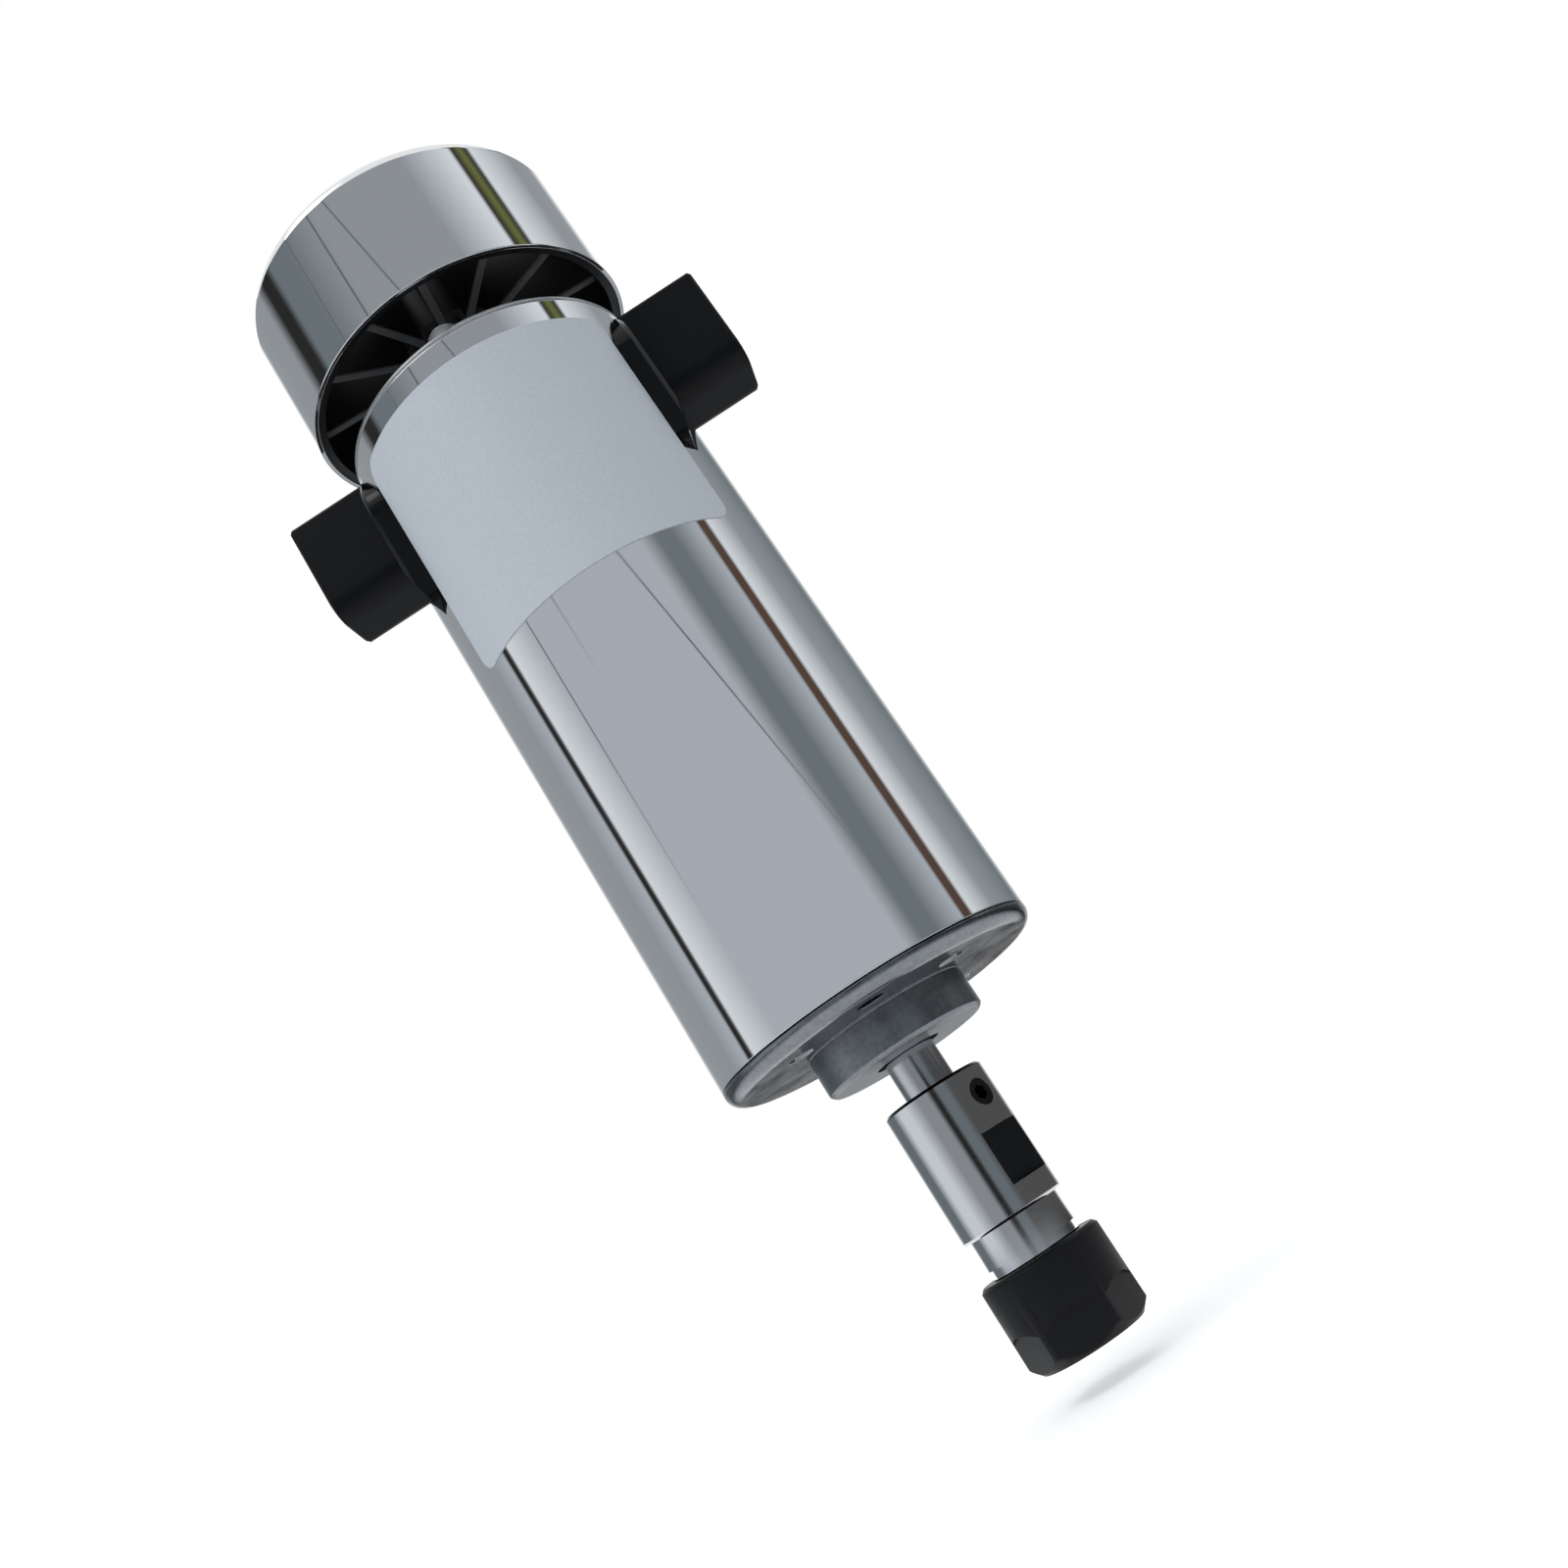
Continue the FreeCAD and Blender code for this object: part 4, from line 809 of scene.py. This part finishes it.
class SPINDLE_OT_label(bpy.types.Operator):
    """The bare label on the tube"""

    bl_idname = "spindle.label"
    bl_label = "Label"

    def execute(self, context):
        sizes = context.scene.spindle_sizes
        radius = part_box("body_tube")[1].x + sizes.label_gap
        half = sizes.label_arc / 2 * radius
        bm = bmesh.new()
        corners = [
            bm.verts.new((-half, 0, sizes.label_low)),
            bm.verts.new((half, 0, sizes.label_low)),
            bm.verts.new((half, 0, sizes.label_high)),
            bm.verts.new((-half, 0, sizes.label_high)),
        ]
        bm.faces.new(corners)
        bmesh.ops.bevel(
            bm,
            geom=corners,
            offset=sizes.label_corner,
            segments=8,
            profile=0.5,
            affect="VERTICES",
            material=-1,
        )
        cuts = round(degrees(sizes.label_arc) / 2)
        for cut in range(1, cuts):
            bmesh.ops.bisect_plane(
                bm,
                geom=bm.verts[:] + bm.edges[:] + bm.faces[:],
                plane_co=(-half + 2 * half * cut / cuts, 0, 0),
                plane_no=(1, 0, 0),
            )
        face = bm.faces[:]
        grown = bmesh.ops.extrude_face_region(bm, geom=face)
        lifted = [v for v in grown["geom"] if isinstance(v, bmesh.types.BMVert)]
        bmesh.ops.translate(bm, verts=lifted, vec=(0, -sizes.label_thickness, 0))
        for vert in bm.verts:
            bearing = vert.co.x / radius
            out = radius - vert.co.y
            vert.co = (out * sin(bearing), -out * cos(bearing), vert.co.z)
        bmesh.ops.recalc_face_normals(bm, faces=bm.faces)
        piece = make_object("bare_label", bm, label_foil(sizes))
        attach(piece, "motor")
        return {"FINISHED"}


class SPINDLE_OT_brush_boxes(bpy.types.Operator):
    """The moulded brush holders and what they hold"""

    bl_idname = "spindle.brush_boxes"
    bl_label = "Brush boxes"

    def execute(self, context):
        sizes = context.scene.spindle_sizes
        # The caps are smoother mouldings than the boxes. Rolled brass shines warm yellow,
        # drawn spring wire mid grey, and pressed carbon is a dull near-black.
        box = brush_box_black()
        cap = moulded_black("moulded_black_cap", 0.36, grain=0.25, gloss=0.2)
        brass = grained("rolled_brass", "9c7f3c", "c8a860", 1.0, 0.3, 0.8)
        spring = grained("spring_steel_wire", "77787c", "a5a6aa", 1.0, 0.3, 0.3)
        carbon = grained("pressed_carbon", "17181a", "34353a", 0.1, 0.6, 0.25)
        for side in ("right", "left"):
            holder = rounded_copy("brush_holder_" + side, sizes.mould_round, box)
            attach(holder, "motor")
            paint("brush_cap_" + side, cap)
            paint("brush_guide_" + side, brass)
            paint("brush_terminal_" + side, brass)
            self.coil_spring(side, spring)
            paint("carbon_brush_" + side, carbon)
        return {"FINISHED"}

    def coil_spring(self, side, steel):
        """The spring behind a carbon brush: a copy of its part with the corners welded."""
        node = "brush_spring_" + side
        bm = bmesh.new()
        bm.from_mesh(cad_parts[node].data)
        bmesh.ops.remove_doubles(bm, verts=bm.verts, dist=WELD)
        coil = make_object("coil_spring_" + side, bm, steel)
        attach(coil, "motor")
        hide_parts(node)
        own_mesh(coil)


class SPINDLE_OT_fan(bpy.types.Operator):
    """The fan and its bush"""

    bl_idname = "spindle.fan"
    bl_label = "Fan"

    def execute(self, context):
        sizes = context.scene.spindle_sizes
        # The fan is a glossier moulding, and its bush is turned steel, bright with fine rings.
        plastic = moulded_black("moulded_black_fan", 0.36, gloss=0.4)
        vanes = rounded_copy("fan_vanes", sizes.edge_round, vane_black())
        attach(vanes, "rotor")
        bright = ground_steel("bright_turned_steel", "c9cacc", 0.2, line=0.2)
        for node in ("fan_hub", "fan_ring"):
            paint(node, plastic)
        paint("fan_bush", bright)
        return {"FINISHED"}


class SPINDLE_OT_chuck(bpy.types.Operator):
    """Shaft, chuck rod, collet and nut"""

    bl_idname = "spindle.chuck"
    bl_label = "Chuck"

    def execute(self, context):
        sizes = context.scene.spindle_sizes
        # The rod and the shaft are ground nearly to a mirror. The nut and the grub screws are
        # blackened, and the hardened collet is a duller grey.
        rod = rounded_copy("chuck_rod", sizes.rod_round, chuck_steel(sizes), sharp_from=20)
        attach(rod, "rotor")
        nut = rounded_copy("collet_nut", sizes.edge_round, black_oxide("black_oxide_nut", 0.38))
        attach(nut, "nut")
        paint("motor_shaft", ground_steel("ground_shaft_steel", "bcbdc0", 0.1, swing=0.02, relief=0.1))
        paint("grub_screws", black_oxide("black_oxide_screw", 0.34))
        paint("collet", ground_steel("ground_collet_steel", "a9a9ab", 0.26))
        return {"FINISHED"}


class SPINDLE_OT_inside(bpy.types.Operator):
    """Bearings, magnets, armature and commutator"""

    bl_idname = "spindle.inside"
    bl_label = "Inside"

    def execute(self, context):
        # Ground bearing rings are bright, and their nitrile seals matt black. Fibre is a matt
        # brick red. Laminations show as fine lines, and enamelled wire as a glossy red-brown.
        # Turned copper is orange, phenolic dark brown, ferrite charcoal, and the washer blue-grey.
        bearing = ground_steel("ground_bearing_steel", "bdbec0", 0.16, line=0.08)
        rubber = grained("nitrile_rubber_seal", "0e0e0e", "1d1d1d", 0.0, 0.7, 0.5)
        for end in ("front", "rear"):
            paint(end + "_bearing_outer", bearing)
            paint(end + "_bearing_inner", bearing)
            paint(end + "_bearing_seals", rubber)
        fibre = grained("red_vulcanised_fibre", "6a2f22", "8a4433", 0.0, 0.7, 0.7)
        paint("armature_fibre_front", fibre)
        paint("armature_fibre_rear", fibre)
        steel = layered("laminated_silicon_steel", "4b4c4f", "8a8b8f", 1.0, 0.45, 0.5, "Z")
        copper = layered("enamelled_copper_wire", "5a2a16", "b5653a", 0.8, 0.35, 0.6, "DIAGONAL")
        paint("armature_core", steel)
        paint("winding", copper)
        paint("commutator_bars", ground_steel("turned_copper", "c07a52", 0.25, line=0.15))
        paint("commutator_hub", grained("phenolic_moulding", "1e1510", "33251c", 0.0, 0.45, 0.5))
        paint("field_magnets", grained("sintered_ferrite", "232326", "3b3b3f", 0.0, 0.6, 0.4))
        paint("wave_washer", grained("blued_spring_steel", "3d4046", "6a6d74", 1.0, 0.35, 0.6))
        return {"FINISHED"}


class SPINDLE_OT_stage(bpy.types.Operator):
    """Floor, studio wall, lamp, world and camera"""

    bl_idname = "spindle.stage"
    bl_label = "Stage"

    def execute(self, context):
        self.make_world(context.scene)
        self.make_wall()
        self.make_floor()
        self.make_lamp()
        self.make_camera(context.scene)
        context.scene.view_settings.view_transform = "Standard"
        return {"FINISHED"}

    def seen(self, tree):
        """One for rays from the camera, and for those that metal or glass sends on."""
        path = add(tree, "ShaderNodeLightPath")
        direct = add(
            tree,
            "ShaderNodeMath",
            {0: path.outputs["Is Camera Ray"], 1: path.outputs["Is Glossy Ray"]},
            operation="MAXIMUM",
        )
        return add(
            tree,
            "ShaderNodeMath",
            {0: direct.outputs[0], 1: path.outputs["Is Transmission Ray"]},
            operation="MAXIMUM",
        ).outputs[0]

    def make_world(self, scene):
        world = bpy.data.worlds.new("studio")
        scene.world = world
        world.use_nodes = True
        tree = world.node_tree
        tree.nodes.clear()
        soft = add(tree, "ShaderNodeBackground", {"Color": linear(WORLD_TONE), "Strength": WORLD_LIGHT})
        white = add(tree, "ShaderNodeBackground", {"Color": (1, 1, 1, 1), "Strength": 1.0})
        mix = add(
            tree, "ShaderNodeMixShader", {0: self.seen(tree), 1: soft.outputs[0], 2: white.outputs[0]}
        )
        add(tree, "ShaderNodeOutputWorld", {"Surface": mix.outputs[0]})

    def cards(self, tree, turn, stops):
        """The cards of one height of the wall, as colour against bearing."""
        ramp = add(tree, "ShaderNodeValToRGB", {"Fac": turn})
        stop_list = ramp.color_ramp.elements
        while len(stop_list) > 1:
            stop_list.remove(stop_list[-1])
        for index, (bearing, colour) in enumerate(stops):
            place = (bearing + 180) / 360
            stop = stop_list[0] if index == 0 else stop_list.new(place)
            stop.position = place
            stop.color = linear(colour)
        return ramp.outputs["Color"]

    def strip(self, tree, colour, turn, height, bearing, lean, foot, width):
        """A thin dark strip before the wall, from its foot upwards.
        It leans by so many degrees a metre."""
        aside = add(
            tree, "ShaderNodeMath", {0: height, 1: -lean / 360, 2: turn}, operation="MULTIPLY_ADD"
        )
        place = (bearing + 180 - lean * foot) / 360
        on_strip = add(
            tree, "ShaderNodeMath", {0: aside.outputs[0], 1: place, 2: width / 720}, operation="COMPARE"
        )
        above = add(
            tree,
            "ShaderNodeMapRange",
            {"Value": height, "From Min": foot, "From Max": foot + STRIP_FADE},
        )
        share = add(
            tree, "ShaderNodeMath", {0: on_strip.outputs[0], 1: above.outputs[0]}, operation="MULTIPLY"
        )
        dark = add(
            tree,
            "ShaderNodeMix",
            {"Factor": share.outputs[0], "A": colour, "B": linear(STRIP_TONE)},
            data_type="RGBA",
        )
        return dark.outputs["Result"]

    def make_wall(self):
        """A round wall of cards, which the camera doesn't see."""
        bm = bmesh.new()
        bmesh.ops.create_circle(bm, cap_ends=True, segments=96, radius=WALL_RADIUS)
        bmesh.ops.translate(bm, verts=bm.verts, vec=(0, 0, WALL_LOW))
        grown = bmesh.ops.extrude_edge_only(bm, edges=bm.edges[:])
        raised = [v for v in grown["geom"] if isinstance(v, bmesh.types.BMVert)]
        bmesh.ops.translate(bm, verts=raised, vec=(0, 0, WALL_HEIGHT))
        material = bpy.data.materials.new("studio_cards")
        material.use_nodes = True
        tree = material.node_tree
        tree.nodes.clear()
        place = add(tree, "ShaderNodeTexCoord").outputs["Object"]
        parts = add(tree, "ShaderNodeSeparateXYZ", {"Vector": place}).outputs
        back = add(tree, "ShaderNodeMath", {0: parts["Y"], 1: -1.0}, operation="MULTIPLY")
        bearing = add(tree, "ShaderNodeMath", {0: parts["X"], 1: back.outputs[0]}, operation="ARCTAN2")
        turn = add(
            tree,
            "ShaderNodeMapRange",
            {"Value": bearing.outputs[0], "From Min": -pi, "From Max": pi},
        ).outputs[0]
        colour = linear(GROUND_TONE)
        for row, low_edge, high_edge in WALL_ROWS:
            height = add(
                tree,
                "ShaderNodeMapRange",
                {"Value": parts["Z"], "From Min": low_edge, "From Max": high_edge},
            )
            colour = add(
                tree,
                "ShaderNodeMix",
                {"Factor": height.outputs[0], "A": colour, "B": self.cards(tree, turn, row)},
                data_type="RGBA",
            ).outputs["Result"]
        for strip in STRIPS:
            colour = self.strip(tree, colour, turn, parts["Z"], *strip)
        path = add(tree, "ShaderNodeLightPath")
        level = add(
            tree,
            "ShaderNodeMath",
            {0: path.outputs["Is Diffuse Ray"], 1: WALL_GLOW_MORE, 2: WALL_GLOW},
            operation="MULTIPLY_ADD",
        )
        glow = add(tree, "ShaderNodeEmission", {"Color": colour, "Strength": level.outputs[0]})
        add(tree, "ShaderNodeOutputMaterial", {"Surface": glow.outputs[0]})
        wall = make_object("studio_wall", bm, material, smooth=False)
        wall.visible_camera = False

    def make_floor(self):
        """A round pale floor under the object. It takes the object's shadow
        and fades to the background."""
        bm = bmesh.new()
        bmesh.ops.create_circle(bm, cap_ends=True, segments=96, radius=FLOOR_RADIUS)
        bmesh.ops.translate(bm, verts=bm.verts, vec=(0, 0, FLOOR_HEIGHT))
        material = bpy.data.materials.new("pale_paper_floor")
        material.use_nodes = True
        tree = material.node_tree
        tree.nodes.clear()
        place = add(tree, "ShaderNodeTexCoord").outputs["Object"]
        flat = add(tree, "ShaderNodeVectorMath", {0: place, 1: (1, 1, 0)}, operation="MULTIPLY")
        reach = add(tree, "ShaderNodeVectorMath", {0: flat.outputs[0]}, operation="LENGTH")
        fade = add(
            tree,
            "ShaderNodeMapRange",
            {"Value": reach.outputs["Value"], "From Min": FLOOR_FADE[0], "From Max": FLOOR_FADE[1]},
            interpolation_type="SMOOTHSTEP",
        )
        paper = add(tree, "ShaderNodeBsdfDiffuse", {"Color": linear(FLOOR_TONE)})
        lift = add(tree, "ShaderNodeMath", {0: self.seen(tree), 1: FLOOR_LIFT}, operation="MULTIPLY")
        fill = add(tree, "ShaderNodeEmission", {"Color": (1, 1, 1, 1), "Strength": lift.outputs[0]})
        lit = add(tree, "ShaderNodeAddShader", {0: paper.outputs[0], 1: fill.outputs[0]})
        clear = add(tree, "ShaderNodeBsdfTransparent")
        mix = add(
            tree,
            "ShaderNodeMixShader",
            {0: fade.outputs[0], 1: lit.outputs[0], 2: clear.outputs[0]},
        )
        add(tree, "ShaderNodeOutputMaterial", {"Surface": mix.outputs[0]})
        floor = make_object("floor", bm, material, smooth=False)

    def make_lamp(self):
        """One large soft lamp, high on the left."""
        light = bpy.data.lights.new("soft_lamp", "AREA")
        light.shape = "SQUARE"
        light.size = LAMP_SIZE
        light.energy = LAMP_POWER
        lamp = bpy.data.objects.new("soft_lamp", light)
        lamp.location = LAMP_PLACE
        lamp.rotation_mode = "QUATERNION"
        lamp.rotation_quaternion = (LAMP_AIM - LAMP_PLACE).to_track_quat("-Z", "Y")
        lamp.visible_camera = False
        bpy.context.scene.collection.objects.link(lamp)

    def make_camera(self, scene):
        """The photograph's viewpoint: 0.22 m from the spindle axis and 29 mm before the front face,
        looking 17 degrees towards the fan, and rolled."""
        camera = bpy.data.cameras.new("camera")
        camera.lens = CAMERA_LENS
        camera.sensor_width = 36.0
        camera.clip_start = 0.01
        camera.clip_end = 20.0
        holder = bpy.data.objects.new("camera", camera)
        back = CAMERA_RIGHT.cross(CAMERA_UP)
        turn = Matrix((CAMERA_RIGHT, CAMERA_UP, back)).transposed().to_4x4()
        holder.matrix_world = Matrix.Translation(CAMERA_PLACE) @ turn
        scene.collection.objects.link(holder)
        scene.camera = holder


STEPS = (
    "case",
    "threads",
    "label",
    "brush_boxes",
    "fan",
    "chuck",
    "inside",
    "stage",
)


class SPINDLE_PT_panel(bpy.types.Panel):
    """Lists the steps that dress the spindle"""

    bl_idname = "SPINDLE_PT_panel"
    bl_label = "Motor spindle"
    bl_space_type = "VIEW_3D"
    bl_region_type = "UI"
    bl_category = "Spindle"

    def draw(self, context):
        for step in STEPS:
            self.layout.operator("spindle." + step)
        sizes = context.scene.spindle_sizes
        for name in sizes.bl_rna.properties.keys():
            if name not in ("rna_type", "name"):
                self.layout.prop(sizes, name)


CLASSES = (
    SpindleSizes,
    SPINDLE_OT_case,
    SPINDLE_OT_threads,
    SPINDLE_OT_label,
    SPINDLE_OT_brush_boxes,
    SPINDLE_OT_fan,
    SPINDLE_OT_chuck,
    SPINDLE_OT_inside,
    SPINDLE_OT_stage,
    SPINDLE_PT_panel,
)


def register():
    for cls in CLASSES:
        bpy.utils.register_class(cls)
    bpy.types.Scene.spindle_sizes = bpy.props.PointerProperty(type=SpindleSizes)


def unregister():
    del bpy.types.Scene.spindle_sizes
    for cls in reversed(CLASSES):
        bpy.utils.unregister_class(cls)


def main():
    register()
    for step in STEPS:
        getattr(bpy.ops.spindle, step)()


if __name__ == "__main__":
    main()
